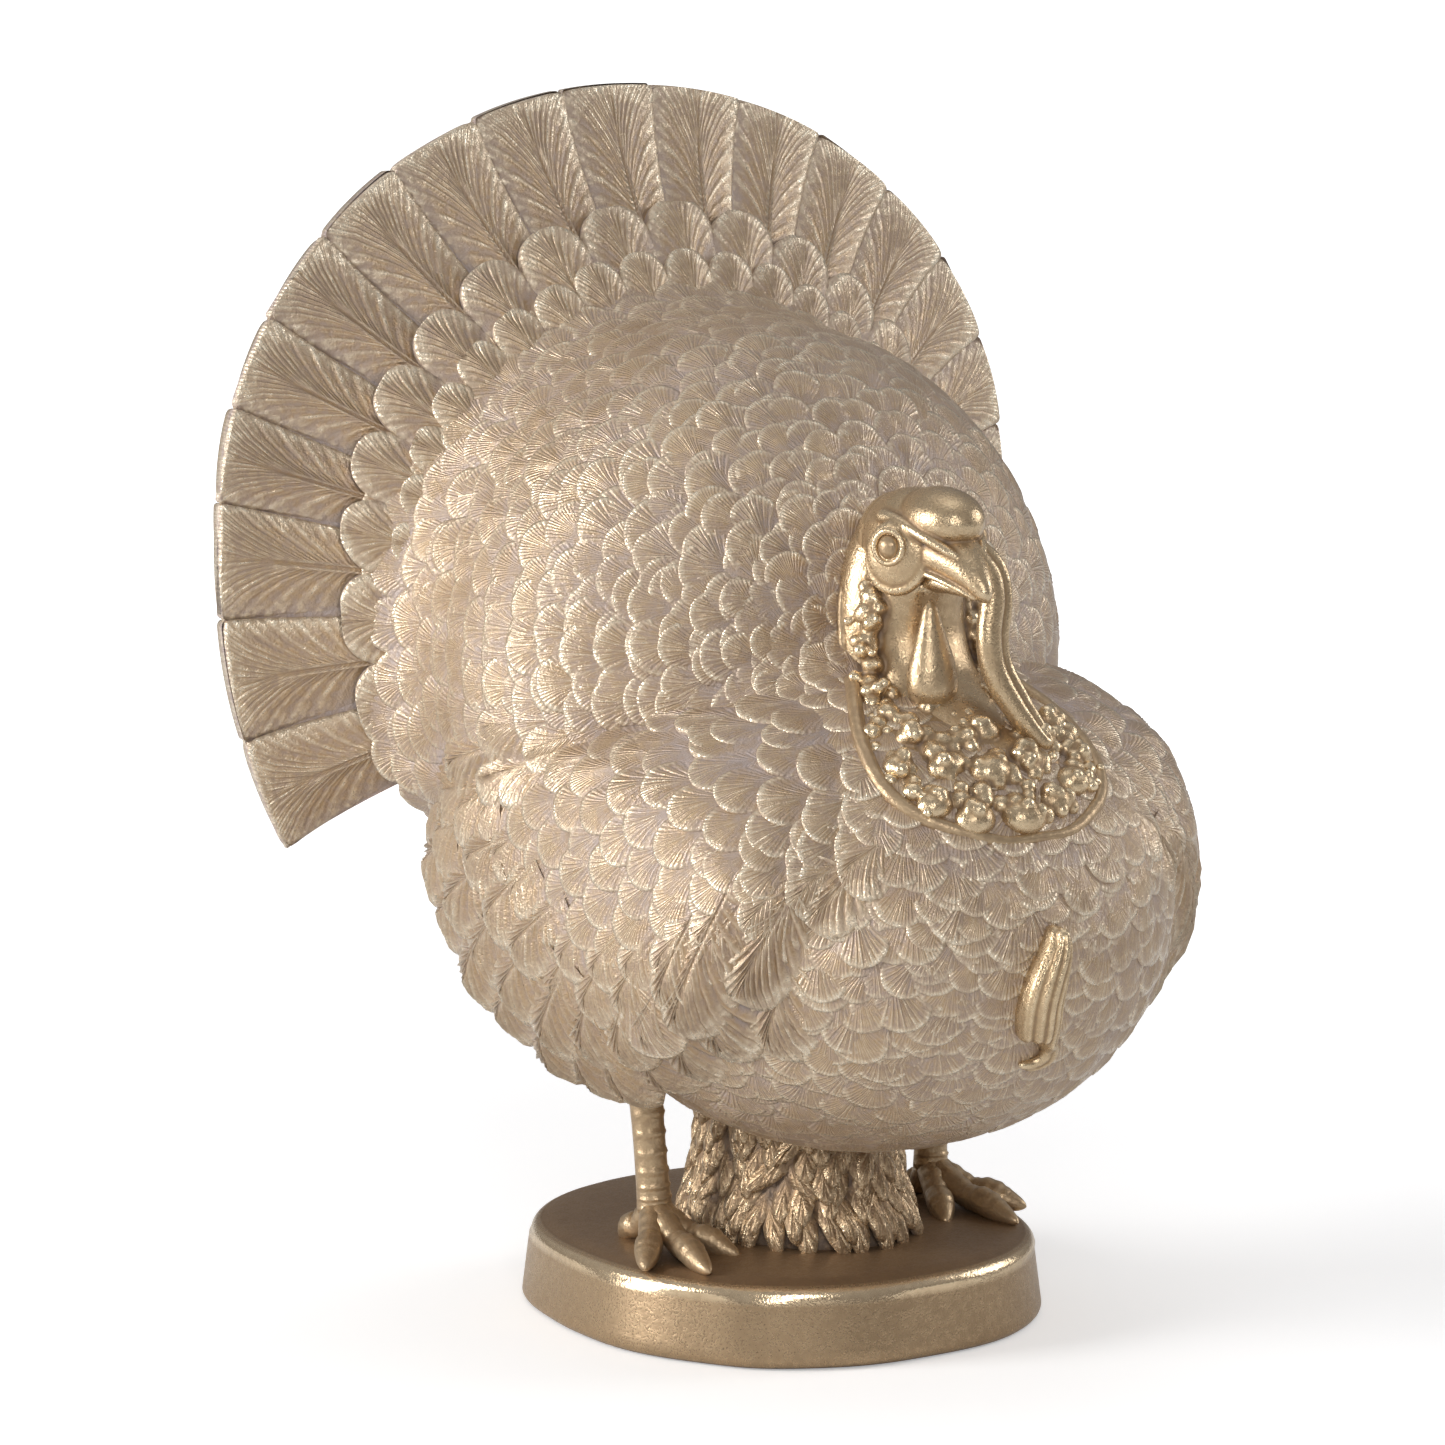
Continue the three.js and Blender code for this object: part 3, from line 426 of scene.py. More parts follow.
# Barbs on a side, how square the tip is, where the sides end, the root's width, how far the quill reaches,
# the columns from the quill to the edge, how vivid the grooves are, and how far the quill leans
BARBED = (0, 0.035, 0.07, 0.12, 0.35, 0.62, 0.9, 1)
SCALE = Feather(8, 2.3, 0.4, 0.8, 0.3, (0, 0.25, 0.55, 0.82, 0.93, 1), (0.15, 1.5))
COVERT = Feather(10, 2.6, 0.5, 0.6, 0.8, BARBED, (0.7, 0.9))
BROAD = Feather(12, 9, 0.88, 0.97, 0.72, (0, 0.035, 0.07, 0.12, 0.35, 0.65, 0.93, 1), (0.7, 1.6))
VANE = Feather(12, 2.8, 0.5, 0.62, 0.85, BARBED, (0.8, 1.5), 0.38)
TUFT = Feather(4, 1.6, 0.3, 0.7, 0.7, (0, 0.2, 0.6, 1))


def relief(form, rise, arch, groove, quill, rim, thick, sink=0.6, tilt=0):
    """Height in mm over the surface beneath, with the edge dropping by the feather's thickness."""
    height = rise * form.along - sink + arch * form.pillow + groove * form.groove
    height = height + quill * form.quill + rim * form.rim + tilt * form.across
    return height - form.skirt * thick


def coat(form, height, tone, low, high, vivid):
    """Gilt on the crests and the quill, and on the rim as rubbed gilt with a painted highlight; wash in the
    low places and the grooves, with painted shade on the dropping edge.
    """
    crest = 0.5 + 0.5 * form.groove
    # The rim's share of the gilt is rubbed gilt on the edge, and also a painted highlight along it.
    gilt = 0.4 * vivid * crest ** 3 + 0.42 * form.rim + 0.4 * form.quill + 0.2 * smooth(0.4, 1, form.along)
    wash = 1 - smooth(low, high, height)
    # The skirt's share of the wash is painted shade under each feather's dropping edge.
    wash = np.clip(wash + 0.3 * vivid * (1 - crest) * (1 - form.rim) + 0.6 * form.skirt, 0, 1)
    shape = height.shape
    tones = np.broadcast_to(tone, shape)
    strand = np.broadcast_to(form.strand, shape)
    return np.stack([np.broadcast_to(np.clip(gilt - 0.08, 0, 1), shape), wash, tones, strand], -1)


def lay(casting, form, field, centres, ways, width, length, heights, wash_band=(0.7, 3.3), turn=0.09):
    """Lays a feather on the field at each centre, heading its way; heights is relief()'s arguments."""
    number = len(centres)
    if not number:
        return
    centres = onto(field, centres)
    normal = slope_of(field, centres)
    way = unit(ways - (ways * normal).sum(-1, keepdims=True) * normal)
    swing = dice.normal(0, turn, number)[:, None]
    way = unit(way + swing * np.cross(way, normal))
    side = np.cross(way, normal)
    scale = 1 + dice.normal(0, 0.05, (number, 2))
    tone = dice.uniform(0, 1, number)[:, None, None]
    wide = (width / 2 * scale[:, 0])[:, None, None, None]
    long = (length * scale[:, 1])[:, None, None, None]
    across = form.across[None, :, :, None]
    along = form.along[None, :, :, None] - 0.5
    flat = centres[:, None, None] + side[:, None, None] * across * wide + way[:, None, None] * along * long
    skin = onto(field, flat)
    vivid = dice.uniform(*form.vivid, number)[:, None, None]
    uneven = (1 + dice.normal(0, 0.1, number))[:, None, None]
    height = relief(form, **dict(heights, groove=heights["groove"] * vivid)) * uneven
    points = skin + slope_of(field, skin) * height[..., None]
    casting.grids(points, coat(form, height, tone, *wash_band, vivid))


def ring_places(form, pole, angle, count, offset):
    """Places on a ring at an angle from the pole of a form, and the way that leads from the pole."""
    centre, half = vec(*form[0]), vec(*form[1])
    pole = unit(vec(*pole))
    east = unit(np.cross(vec(0, 0, 1) + 1e-3, pole))
    north = np.cross(pole, east)
    turns = circle(count, offset)
    round_ = np.cos(turns)[:, None] * east + np.sin(turns)[:, None] * north
    spot = math.cos(angle) * pole + math.sin(angle) * round_
    way = -math.sin(angle) * pole + math.cos(angle) * round_
    return centre + spot * half, unit(way * half)


def ring_rows(form, pole, start, stop, measures):
    """Staggered rings round a pole, from start to stop in degrees: each one's feather width, places and ways.

    measures(degrees) gives the width, the room for each feather on the ring, and the step to the next ring.
    """
    angle, row = math.radians(start), 0
    while angle < math.radians(stop):
        width, room, step = measures(math.degrees(angle))
        rough, _ = ring_places(form, pole, angle, 48, 0)
        girth = np.linalg.norm(rough - np.roll(rough, 1, 0), axis=1).sum()
        count = max(int(round(girth / room)), 6)
        yield width, *ring_places(form, pole, angle, count, 0.5 * (row % 2))
        angle += step
        row += 1


# Rows of the tail fan

def fan_row(casting, form, count, spread, tip, root, lap, heights, back=None, wash_band=(0.2, 1.8)):
    """A row of feathers on the fan, from a root share to a tip share; back lays it on the rear face."""
    pitch = spread / count
    middle = (np.arange(count) + 0.5) * pitch - spread / 2
    angle = middle[:, None, None] + form.across * pitch / 2 * lap
    share = root + form.along * (tip - root) + np.zeros_like(angle)
    share = share * (1 + dice.normal(0, 0.004, count))[:, None, None]
    share = np.minimum(share, tip)
    depth = 0 if back is None else back(share)
    step = 1e-3
    point = fan_point(angle, share, depth)
    by_angle = fan_point(angle + step, share, depth) - point
    by_share = fan_point(angle, share + step, depth) - point
    normal = unit(np.cross(by_angle, by_share))
    normal = np.where(normal[..., 1:2] > 0, -normal, normal)
    if back is not None:
        normal = -normal
    height = relief(form, **heights) + dice.normal(0, 0.15, count)[:, None, None]
    points = point + normal * height[..., None]
    tone = dice.uniform(0, 1, count)[:, None, None]
    paint = coat(form, height, tone, *wash_band, form.vivid[1])
    if back is not None:
        points = points[:, :, ::-1]
        paint = paint[:, :, ::-1]
    casting.grids(points, paint)


def fan_back(share):
    """The fan's thickness, from its rim to its thicker root."""
    return FAN_RIM_THICK + FAN_ROOT_EXTRA * ((1 - share) / FAN_ROOT_SPAN)


# Lofts

def spline(rows, count):
    """A smooth run of count rows through the given rows."""
    rows = np.asarray(rows, float)
    rows = np.concatenate([2 * rows[:1] - rows[1:2], rows, 2 * rows[-1:] - rows[-2:-1]])
    place = np.linspace(0, len(rows) - 3 - 1e-6, count)
    i = place.astype(int)
    t = (place - i)[:, None]
    a, b, c, d = rows[i], rows[i + 1], rows[i + 2], rows[i + 3]
    return 0.5 * (
        2 * b + (c - a) * t + (2 * a - 5 * b + 4 * c - d) * t ** 2 + (3 * b - a - 3 * c + d) * t ** 3
    )


def loft(stations, facing, rows=60, sides=24, swell=None, ends=(True, True)):
    """Rings round a line; stations hold x, y, z, half width, half depth. Returns points (rows, sides, 3).

    swell(u, a) gives extra mm outwards, where u runs along and a round from the wide side.
    """
    line = spline(stations, rows)
    centre, wide, deep = line[:, :3], line[:, 3], line[:, 4]
    along = unit(np.gradient(centre, axis=0))
    depth = unit(vec(*facing) - (along * vec(*facing)).sum(-1, keepdims=True) * along)
    width = np.cross(along, depth)
    u = np.linspace(0, 1, rows)
    closing = np.ones(rows)
    if ends[0]:
        closing *= np.sqrt(1 - np.clip(1 - u * rows / 5, 0, 1) ** 2)
    if ends[1]:
        closing *= np.sqrt(1 - np.clip(1 - (1 - u) * rows / 5, 0, 1) ** 2)
    a = circle(sides)
    extra = 0 if swell is None else swell(u[:, None], a[None, :]) * closing[:, None]
    wide = (wide * closing)[:, None] + extra
    deep = (deep * closing)[:, None] + extra
    return (
        centre[:, None]
        + width[:, None] * (np.cos(a) * wide)[..., None]
        + depth[:, None] * (np.sin(a) * deep)[..., None]
    )


def facing_out(points):
    """Turns a closed loft's rings over if its quads face inwards."""
    centre = points.mean((0, 1))
    ring = points[len(points) // 2]
    nearby = points[len(points) // 2 + 1]
    normal = np.cross(np.roll(ring, -1, 0) - ring, nearby - ring)
    outward = (normal * (ring - ring.mean(0))).sum()
    return points if outward > 0 else points[:, ::-1]


def add_loft(casting, *args, paint=(0.3, 0.2, 0.5, 0), **kw):
    points = facing_out(loft(*args, **kw))
    casting.grid(points, paint, wrap=True)


def sphere(rows, sides):
    """Rings of places on a ball of radius 1, from its lowest point to its highest."""
    up = np.linspace(0, math.pi, rows)[:, None]
    around = circle(sides)
    return np.stack([np.sin(up) * np.cos(around), np.sin(up) * np.sin(around), -np.cos(up) + 0 * around], -1)


def ball(casting, centre, half, rows, sides):
    casting.grid(vec(*centre) + sphere(rows, sides) * vec(*half), wrap=True)


def core(casting, form, field, inset=0.6):
    """The washed surface under the feathers: the form, swelled to the blended surface where that is close."""
    p = vec(*form[0]) + sphere(40, 72) * vec(*form[1])
    gap = np.clip(-field(p), 0, 4)
    p = p + slope_of(field, p) * (gap - inset)[..., None]
    casting.grid(p, UNDERCOAT, wrap=True)


# Materials

def new_material(name):
    material = bpy.data.materials.new(name)
    material.use_nodes = True
    tree = material.node_tree
    return material, tree, tree.nodes["Principled BSDF"]


def new_node(tree, kind):
    return tree.nodes.new("ShaderNode" + kind)


def plug(tree, node, inputs):
    """Links or sets a node's inputs, which are given by name or number."""
    for key, value in inputs.items():
        if isinstance(value, bpy.types.NodeSocket):
            tree.links.new(value, node.inputs[key])
        else:
            node.inputs[key].default_value = value


def mixed(tree, factor, *colours):
    mix = new_node(tree, "Mix")
    mix.data_type = "RGBA"
    a, b = [(*colour, 1) if isinstance(colour, tuple) else colour for colour in colours]
    plug(tree, mix, {"Factor": factor, "A": a, "B": b})
    return mix.outputs["Result"]


def maths(tree, operation, *values, clamp=False):
    node = new_node(tree, "Math")
    node.operation = operation
    node.use_clamp = clamp
    plug(tree, node, dict(enumerate(values)))
    return node.outputs[0]


def noise(tree, scale, detail, stretch=None):
    where = new_node(tree, "TexCoord").outputs["Object"]
    if stretch:
        mapping = new_node(tree, "Mapping")
        plug(tree, mapping, {"Scale": stretch, "Vector": where})
        where = mapping.outputs["Vector"]
    texture = new_node(tree, "TexNoise")
    plug(tree, texture, {"Scale": scale, "Detail": detail, "Vector": where})
    return texture.outputs["Fac"]


def span(tree, value, low, high):
    node = new_node(tree, "MapRange")
    node.interpolation_type = "SMOOTHSTEP"
    plug(tree, node, {"From Min": low, "From Max": high, "Value": value})
    return node.outputs["Result"]


def bumped(tree, inputs):
    bump = new_node(tree, "Bump")
    plug(tree, bump, inputs)
    return bump.outputs["Normal"]


def gilded(name, deep, mid, bright, wash, metal, rough, striation=0.0, mottle=1.0, lacquer=0.0):
    """Gold paint with a darker wash in the low places, rubbed brighter on the crests; the paint channels also
    bring painted shade and painted highlights where castings put them.
    """
    material, tree, shader = new_material(name)
    layer = new_node(tree, "Attribute")
    layer.attribute_name = "paint"
    parts = new_node(tree, "SeparateXYZ")
    tree.links.new(layer.outputs["Vector"], parts.inputs[0])
    gilt, low, tone = parts.outputs
    patches = span(tree, noise(tree, 45, 3), 0.35, 0.65)
    rubbed = span(tree, noise(tree, 420, 5), 0.38, 0.62)
    specks = span(tree, noise(tree, 1500, 2), 0.3, 0.7)
    body = mixed(tree, maths(tree, "MULTIPLY_ADD", tone, 0.5, 0.25), deep, mid)
    body = mixed(tree, maths(tree, "MULTIPLY", patches, 0.35), body, mid)
    stain_and_shade = maths(tree, "MULTIPLY_ADD", rubbed, -0.35 * mottle, 0.12 * mottle)
    # The wash channel also holds painted shade where castings paint it, so this mix darkens with painted
    # shade as well as with wash and mottling.
    stain_and_shade = maths(tree, "ADD", maths(tree, "MULTIPLY", low, 0.95), stain_and_shade, clamp=True)
    # The gilt channel also holds painted highlights where castings paint them.
    crest = gilt
    if striation:
        line = new_node(tree, "Attribute")
        line.attribute_name = "strand"
        wave = maths(tree, "SINE", maths(tree, "MULTIPLY", line.outputs["Fac"], 4 * math.pi))
        wave = maths(tree, "MULTIPLY_ADD", wave, 0.5, 0.5)
        crest = maths(tree, "MULTIPLY_ADD", wave, 0.25, crest)
    worn = maths(tree, "MULTIPLY_ADD", rubbed, 0.7 * mottle, 1.1 - 0.65 * mottle)
    crest = maths(tree, "MULTIPLY", crest, worn)
    crest = maths(tree, "SUBTRACT", crest, maths(tree, "MULTIPLY", low, 0.5), clamp=True)
    colour = mixed(tree, stain_and_shade, body, wash)
    dull = maths(tree, "MULTIPLY_ADD", stain_and_shade, 0.3, rough)
    dull = maths(tree, "MULTIPLY_ADD", specks, 0.12, dull)
    grain = maths(tree, "ADD", maths(tree, "MULTIPLY", rubbed, 0.6), specks)
    if striation:
        grain = maths(tree, "MULTIPLY_ADD", wave, striation, grain)
    normal = bumped(tree, {"Strength": 0.35 * mottle, "Distance": 0.0004, "Height": grain})
    plug(tree, shader, {
        "Base Color": mixed(tree, crest, colour, bright),
        "Roughness": maths(tree, "MULTIPLY_ADD", crest, -0.16, dull, clamp=True),
        "Metallic": maths(tree, "MULTIPLY_ADD", stain_and_shade, -0.75 * metal, metal),
        "Normal": normal, "Coat Normal": normal, "Coat Weight": lacquer, "Coat Roughness": 0.28,
    })
    return material


def plain_material(name, dark, light, metal, rough, scale, stretch=None):
    material, tree, shader = new_material(name)
    grain = noise(tree, scale, 4, stretch)
    plug(tree, shader, {
        "Base Color": mixed(tree, span(tree, grain, 0.3, 0.7), dark, light),
        "Metallic": metal,
        "Roughness": maths(tree, "MULTIPLY_ADD", grain, 0.3, rough),
        "Normal": bumped(tree, {"Distance": 0.0003, "Height": grain}),
    })
    return material


# Deep, middle and bright gold, then the wash
feather_gold = gilded(
    "feather gold", (0.35, 0.22, 0.115), (0.5, 0.34, 0.185), (0.93, 0.82, 0.64), (0.45, 0.365, 0.33),
    metal=0.56, rough=0.33, striation=1.2, lacquer=0.8,
)
smooth_gold = gilded(
    "smooth gold", (0.34, 0.215, 0.11), (0.48, 0.33, 0.18), (0.86, 0.7, 0.47), (0.21, 0.15, 0.11),
    metal=0.85, rough=0.3, mottle=0.5,
)
# A darker copy of the gold for the tuft: painted shade for its place under the body.
tuft_shaded_gold = gilded(
    "tuft shaded gold", (0.27, 0.17, 0.09), (0.41, 0.275, 0.155), (0.8, 0.64, 0.43), (0.19, 0.14, 0.105),
    metal=0.8, rough=0.3, striation=0.8,
)
# Its very dark wash paints the belly's reflection onto the plinth's top.
base_gold = gilded(
    "base gold", (0.26, 0.155, 0.077), (0.42, 0.285, 0.16), (0.82, 0.65, 0.43), (0.13, 0.08, 0.05),
    metal=0.85, rough=0.24, mottle=0.35,
)
PLUMAGE = (feather_gold, "feather_gold")
SMOOTH = (smooth_gold, "smooth_gold")
pin_steel = plain_material("pin steel", (0.3, 0.31, 0.32), (0.42, 0.43, 0.45), 1, 0.28, 300, (1, 1, 0.1))
base_felt = plain_material("base felt", (0.07, 0.045, 0.028), (0.12, 0.08, 0.05), 0, 0.75, 900)

# Torso: scales that run down the breast from the collar

COLLAR = (0, -0.74, 0.67)
CROWDING = 0.86
SMALL = dict(rise=2.6, arch=1.2, groove=0.16, quill=0, rim=0.2, thick=2.8)
breast = Casting()
core(breast, TORSO, body_field)


def well_in_wing(p):
    """Inside the wing, but not behind its trailing edge, where the body still shows."""
    y, z = p[..., 1], p[..., 2]
    inside = np.zeros(y.shape, bool)
    for (y0, z0), (y1, z1) in zip(WING_OUTLINE, np.roll(WING_OUTLINE, -1, 0)):
        crosses = (z0 > z) != (z1 > z)
        at_y = (y1 - y0) * (z - z0) / (z1 - z0 + 1e-9) + y0
        inside ^= crosses & (y < at_y)
    near = (oval(p, *WING) < 30) & (np.abs(p[..., 0]) > WING_INNER_X)
    return inside & near & (past_edge(y, z, WING_TRAIL) < -20)


def near_neck(p):
    above = (p[..., 1] < -60) & (p[..., 2] > 150)
    return above & (((p[..., 0] / 39.5) ** 2 + ((p[..., 1] + 97) / 36) ** 2) < 1)


def breast_measures(degrees):
    width = np.interp(degrees, [14, 25, 50, 90, 150], [10, 12, 15, 17, 17.5])
    return width, width * CROWDING, width * 0.56 / 84


for width, places, ways in ring_rows(TORSO, COLLAR, 13, 173, breast_measures):
    keep = ~(well_in_wing(places) & well_in_wing(places - vec(0, 8, 0)))
    keep &= (oval(places, *BACK) > -2) & ~near_neck(places)
    lay(breast, SCALE, body_field, places[keep], ways[keep], width, width * 1.25, SMALL)
breast.piece("torso_feathers", *PLUMAGE, "torso")

# Back: scales that run from the neck out to the tail

dome = Casting()
core(dome, BACK, flare_field)


def outline_length(curve):
    return np.linalg.norm(np.roll(curve, -1, 0) - curve, axis=1)


def spaced(curve, count, offset=0.0):
    """Evenly spaced places on a closed curve."""
    closed = np.concatenate([curve, curve[:1]])
    run = np.concatenate([[0], np.cumsum(outline_length(curve))])
    stops = (np.arange(count) + offset) / count * run[-1]
    return np.stack([np.interp(stops, run, closed[:, axis]) for axis in range(3)], -1)


def outward(field, curve):
    tangent = np.roll(curve, -3, 0) - np.roll(curve, 3, 0)
    way = unit(np.cross(tangent, slope_of(field, curve)))
    spread = ((curve - curve.mean(0)) * way).sum()
    return way if spread > 0 else -way


# The first row rings the neck, and each front moves out from the last one over the surface
DOME_ROWS = 21
DOME_PITCH = 0.53
FRONT_PLACES = 400
turns = np.linspace(0, 2 * math.pi, FRONT_PLACES, endpoint=False)
front = np.stack([17 * np.cos(turns), np.full(FRONT_PLACES, -62.0), 203 + 33 * np.sin(turns)], -1)
front = onto(flare_field, front, 8)
for row in range(DOME_ROWS):
    width = np.interp(row, [0, 3, 8, 14], [12, 14.5, 17, 18.5])
    count = max(int(round(outline_length(front).sum() / (width * CROWDING))), 8)
    places = spaced(front, count, 0.5 * (row % 2))
    way_all = outward(flare_field, front)
    nearest = ((places[:, None] - front[None]) ** 2).sum(-1).argmin(1)
    ways = way_all[nearest]
    share, _ = fan_share(places)
    keep = (oval(places, *TORSO) > -2) & ~well_in_wing(places - vec(0, 0, 9))
    keep &= (share < 0.6) | (fan_field(places) > 1.5)
    keep &= places[:, 1] < 66
    lay(dome, SCALE, flare_field, places[keep], ways[keep], width, width * 1.22, SMALL)
    front = onto(flare_field, front + way_all * width * DOME_PITCH)
    front = spaced(front, FRONT_PLACES)
    front = (np.roll(front, 1, 0) + 2 * front + np.roll(front, -1, 0)) / 4
RUMP_POLE = (0, 0.35, 0.94)
for width, places, ways in ring_rows(BACK, RUMP_POLE, 9, 140, lambda degrees: (18, 16, 10 / 88)):
    behind = (places[:, 1] > 60) | ((places[:, 2] < 150) & (places[:, 1] > 40))
    keep = behind & (oval(places, *TORSO) > -2) & ~well_in_wing(places)
    lay(dome, SCALE, body_field, places[keep], ways[keep], width, 22, SMALL)
dome.piece("back_feathers", *PLUMAGE, "back_saddle")

# Wings: rows that fan out from the shoulder, the longest feathers at the edge

wing = Casting()


def wing_reach(start, way):
    """Distance from a place in the y-z plane to the outline's farthest side, each way."""
    reach = np.zeros(len(way))
    for p, q in zip(WING_OUTLINE, np.roll(WING_OUTLINE, -1, 0)):
        d = q - p
        w = p - vec(*start)
        cross = way[:, 0] * d[1] - way[:, 1] * d[0]
        cross = np.where(np.abs(cross) < 1e-9, 1e-9, cross)
        t = (w[0] * d[1] - w[1] * d[0]) / cross
        s = (w[0] * way[:, 1] - w[1] * way[:, 0]) / cross
        reach = np.where((s >= 0) & (s <= 1) & (t > reach), t, reach)
    return reach


def side_surface(field, y, z, sink=0.0):
    """The right side of a field's surface over places in the y-z plane."""
    low = np.full(y.shape, 20.0)
    high = np.full(y.shape, 110.0)
    for _ in range(22):
        middle = (low + high) / 2
        inside = field(np.stack([-middle, y, z], -1)) < 0
        low = np.where(inside, middle, low)
        high = np.where(inside, high, middle)
    return np.stack([sink - low, y, z], -1)


turns = np.linspace(0, 2 * math.pi, 160, endpoint=False)
spokes = rays(turns)
edge_reach = wing_reach(WING_MIDDLE, spokes) - 2
edge = vec(*WING_MIDDLE) + spokes * edge_reach[:, None]
edge_reach += 9 * smooth(-8, -3, past_edge(edge[:, 0], edge[:, 1]))
shares = np.concatenate([np.linspace(0.0, 1, 24), [1.0]])
y = WING_MIDDLE[0] + spokes[:, 0] * edge_reach * shares[:, None]
z = WING_MIDDLE[1] + spokes[:, 1] * edge_reach * shares[:, None]
skin = side_surface(wing_field, y, z, 0.8)
skin[-1] = side_surface(body_field, y[-1], z[-1], 2)
skin_paint = np.tile(vec(*UNDERCOAT), (*skin.shape[:2], 1))
skin_paint[-2:] = (0.35, 0.35, 0.5, 0)
wing.grid(skin, skin_paint, wrap=True)

LONG = dict(rise=3.0, arch=2.1, groove=1.15, quill=0.6, rim=0.25, thick=2.8)
WING_ROWS = (
    # the tips' distance in from the edge, length, width, form, heights
    (0, 42, 23, VANE, LONG),
    (18, 48, 23, VANE, LONG),
    (43, 36, 20, VANE, dict(LONG, groove=0.6, arch=1.9)),
    (60, 27, 17.5, VANE, dict(LONG, groove=0.35, arch=1.4, quill=0.25)),
    *((start, 21, 16.5, SCALE, SMALL) for start in range(72, 168, 11)),
)


def wing_places(turns, inward):
    """Places on the right wing at a distance in from the outline, on rays from the wing's pole."""
    clipped = np.clip(turns, WING_LOW, WING_HIGH)
    reach = wing_reach(WING_POLE, rays(clipped)) - inward
    y, z = WING_POLE[0] + np.cos(turns) * reach, WING_POLE[1] + np.sin(turns) * reach
    return side_surface(wing_field, y, z)


WING_HIGH = math.radians(-18.3)
WING_LOW = math.radians(-60)
for number, (inward, length, width, form, heights) in enumerate(WING_ROWS):
    fine = np.linspace(WING_HIGH + 0.3, WING_LOW - 0.3, 360)
    tips = wing_places(fine, inward + 1.5)
    steps = np.linalg.norm(np.diff(tips, axis=0), axis=1) / (0.84 * width)
    run = np.concatenate([[0], np.cumsum(np.minimum(steps, 0.2))])
    count = max(int(round(run[-1])), 3)
    stops = (np.arange(count) + 0.5 * (1 + number % 2) - 0.25) / count * run[-1]
    turns = np.interp(stops, run, fine)
    tips = wing_places(turns, inward + 1.5)
    ways = unit(tips - wing_places(turns, inward + 8))
    held = (past_edge(tips[:, 1], tips[:, 2]) < 8) & (past_edge(tips[:, 1], tips[:, 2], WING_TRAIL) < 1)
    tips, ways = tips[held], ways[held]
    centres = tips - ways * length * 0.5
    lay(
        wing, form, wing_field, centres, ways, width, length, heights,
        wash_band=(0.3, 3.0), turn=0.07,
    )
lay(
    wing, SCALE, wing_field, vec([-69, -58, 116]), vec([0, -0.25, -1]), 27, 30,
    dict(SMALL, groove=0.05, sink=-1), wash_band=(0.5, 3), turn=0,
)
wing.piece("wing_right_feathers", *PLUMAGE, "wing_right")
wing.mirrored().piece("wing_left_feathers", *PLUMAGE, "wing_left")

# Tail fan and its coverts

TAIL = dict(rise=1.0, arch=2.3, groove=0.36, quill=1.0, rim=0.2, thick=2.8, sink=1.6, tilt=0.7)
tail = Casting()
fan_turns = np.linspace(-FAN_SPREAD / 2, FAN_SPREAD / 2, 190)[None, :] + np.zeros((12, 1))
fan_shares = np.linspace(0.44, 0.993, 12)[:, None] + np.zeros_like(fan_turns)
front = fan_point(fan_turns, fan_shares, 1.6)
rear = fan_point(fan_turns, fan_shares, fan_back(fan_shares) - 1)
tail.grid(front, (0.1, 0.95, 0.5, 0))
tail.grid(rear[:, ::-1], (0.3, 0.5, 0.5, 0))
rims = [
    np.stack([front[-1], rear[-1]]),
    np.stack([rear[0], front[0]]),
    np.stack([rear[:, 0], front[:, 0]]),
    np.stack([front[:, -1], rear[:, -1]]),
]
for rim in rims:
    tail.grid(rim, (0.5, 0.2, 0.5, 0))
for root, back in ((0.69, None), (0.5, fan_back)):
    fan_row(tail, BROAD, FAN_FEATHERS, FAN_SPREAD, 1.0, root, 1.0, TAIL, back, (-2.2, 0.3))
tail.piece("tail_feathers", *PLUMAGE, "tail_fan")

coverts = Casting()
pitch = FAN_SPREAD / FAN_FEATHERS
fan_row(
    coverts, COVERT, 18, 18 * pitch, 0.76, 0.5, 1.1,
    dict(rise=3.2, arch=2.2, groove=0.45, quill=0.6, rim=0.35, thick=3.6, sink=-0.8), wash_band=(2.2, 5.6),
)
fan_row(
    coverts, COVERT, 24, 18.4 * pitch, 0.665, 0.47, 1.12,
    dict(rise=3.4, arch=1.8, groove=0.36, quill=0.4, rim=0.3, thick=3.2, sink=-2.2), wash_band=(3.2, 6.6),
)
coverts.piece("covert_feathers", *PLUMAGE, "covert_fan")

# Neck, bib and hood line

ARC_STATIONS = 40


def disc(casting, centre, facing, half):
    """A ball flattened along its facing; half sizes run level, upright and along the facing."""
    facing, level, upright = facing_frame(facing)
    local = sphere(17, 28) * vec(*half)
    turned = local[..., :1] * level + local[..., 1:2] * upright + local[..., 2:] * facing
    casting.grid(turned + vec(*centre), wrap=True)


def arc(centre, facing, wide, high, start, stop, thick):
    """Stations round an oval in the plane across the facing, thinning out at both ends."""
    _, level, upright = facing_frame(facing)
    turns = np.radians(np.linspace(start, stop, ARC_STATIONS))
    taper = np.ones(ARC_STATIONS)
    if stop - start < 360:
        taper = np.sin(np.linspace(0.12, math.pi - 0.12, ARC_STATIONS)) ** 0.5
    places = vec(*centre) + wide * np.cos(turns)[:, None] * level + high * np.sin(turns)[:, None] * upright
    return np.concatenate([places, (thick * taper)[:, None], (thick * taper)[:, None]], 1)


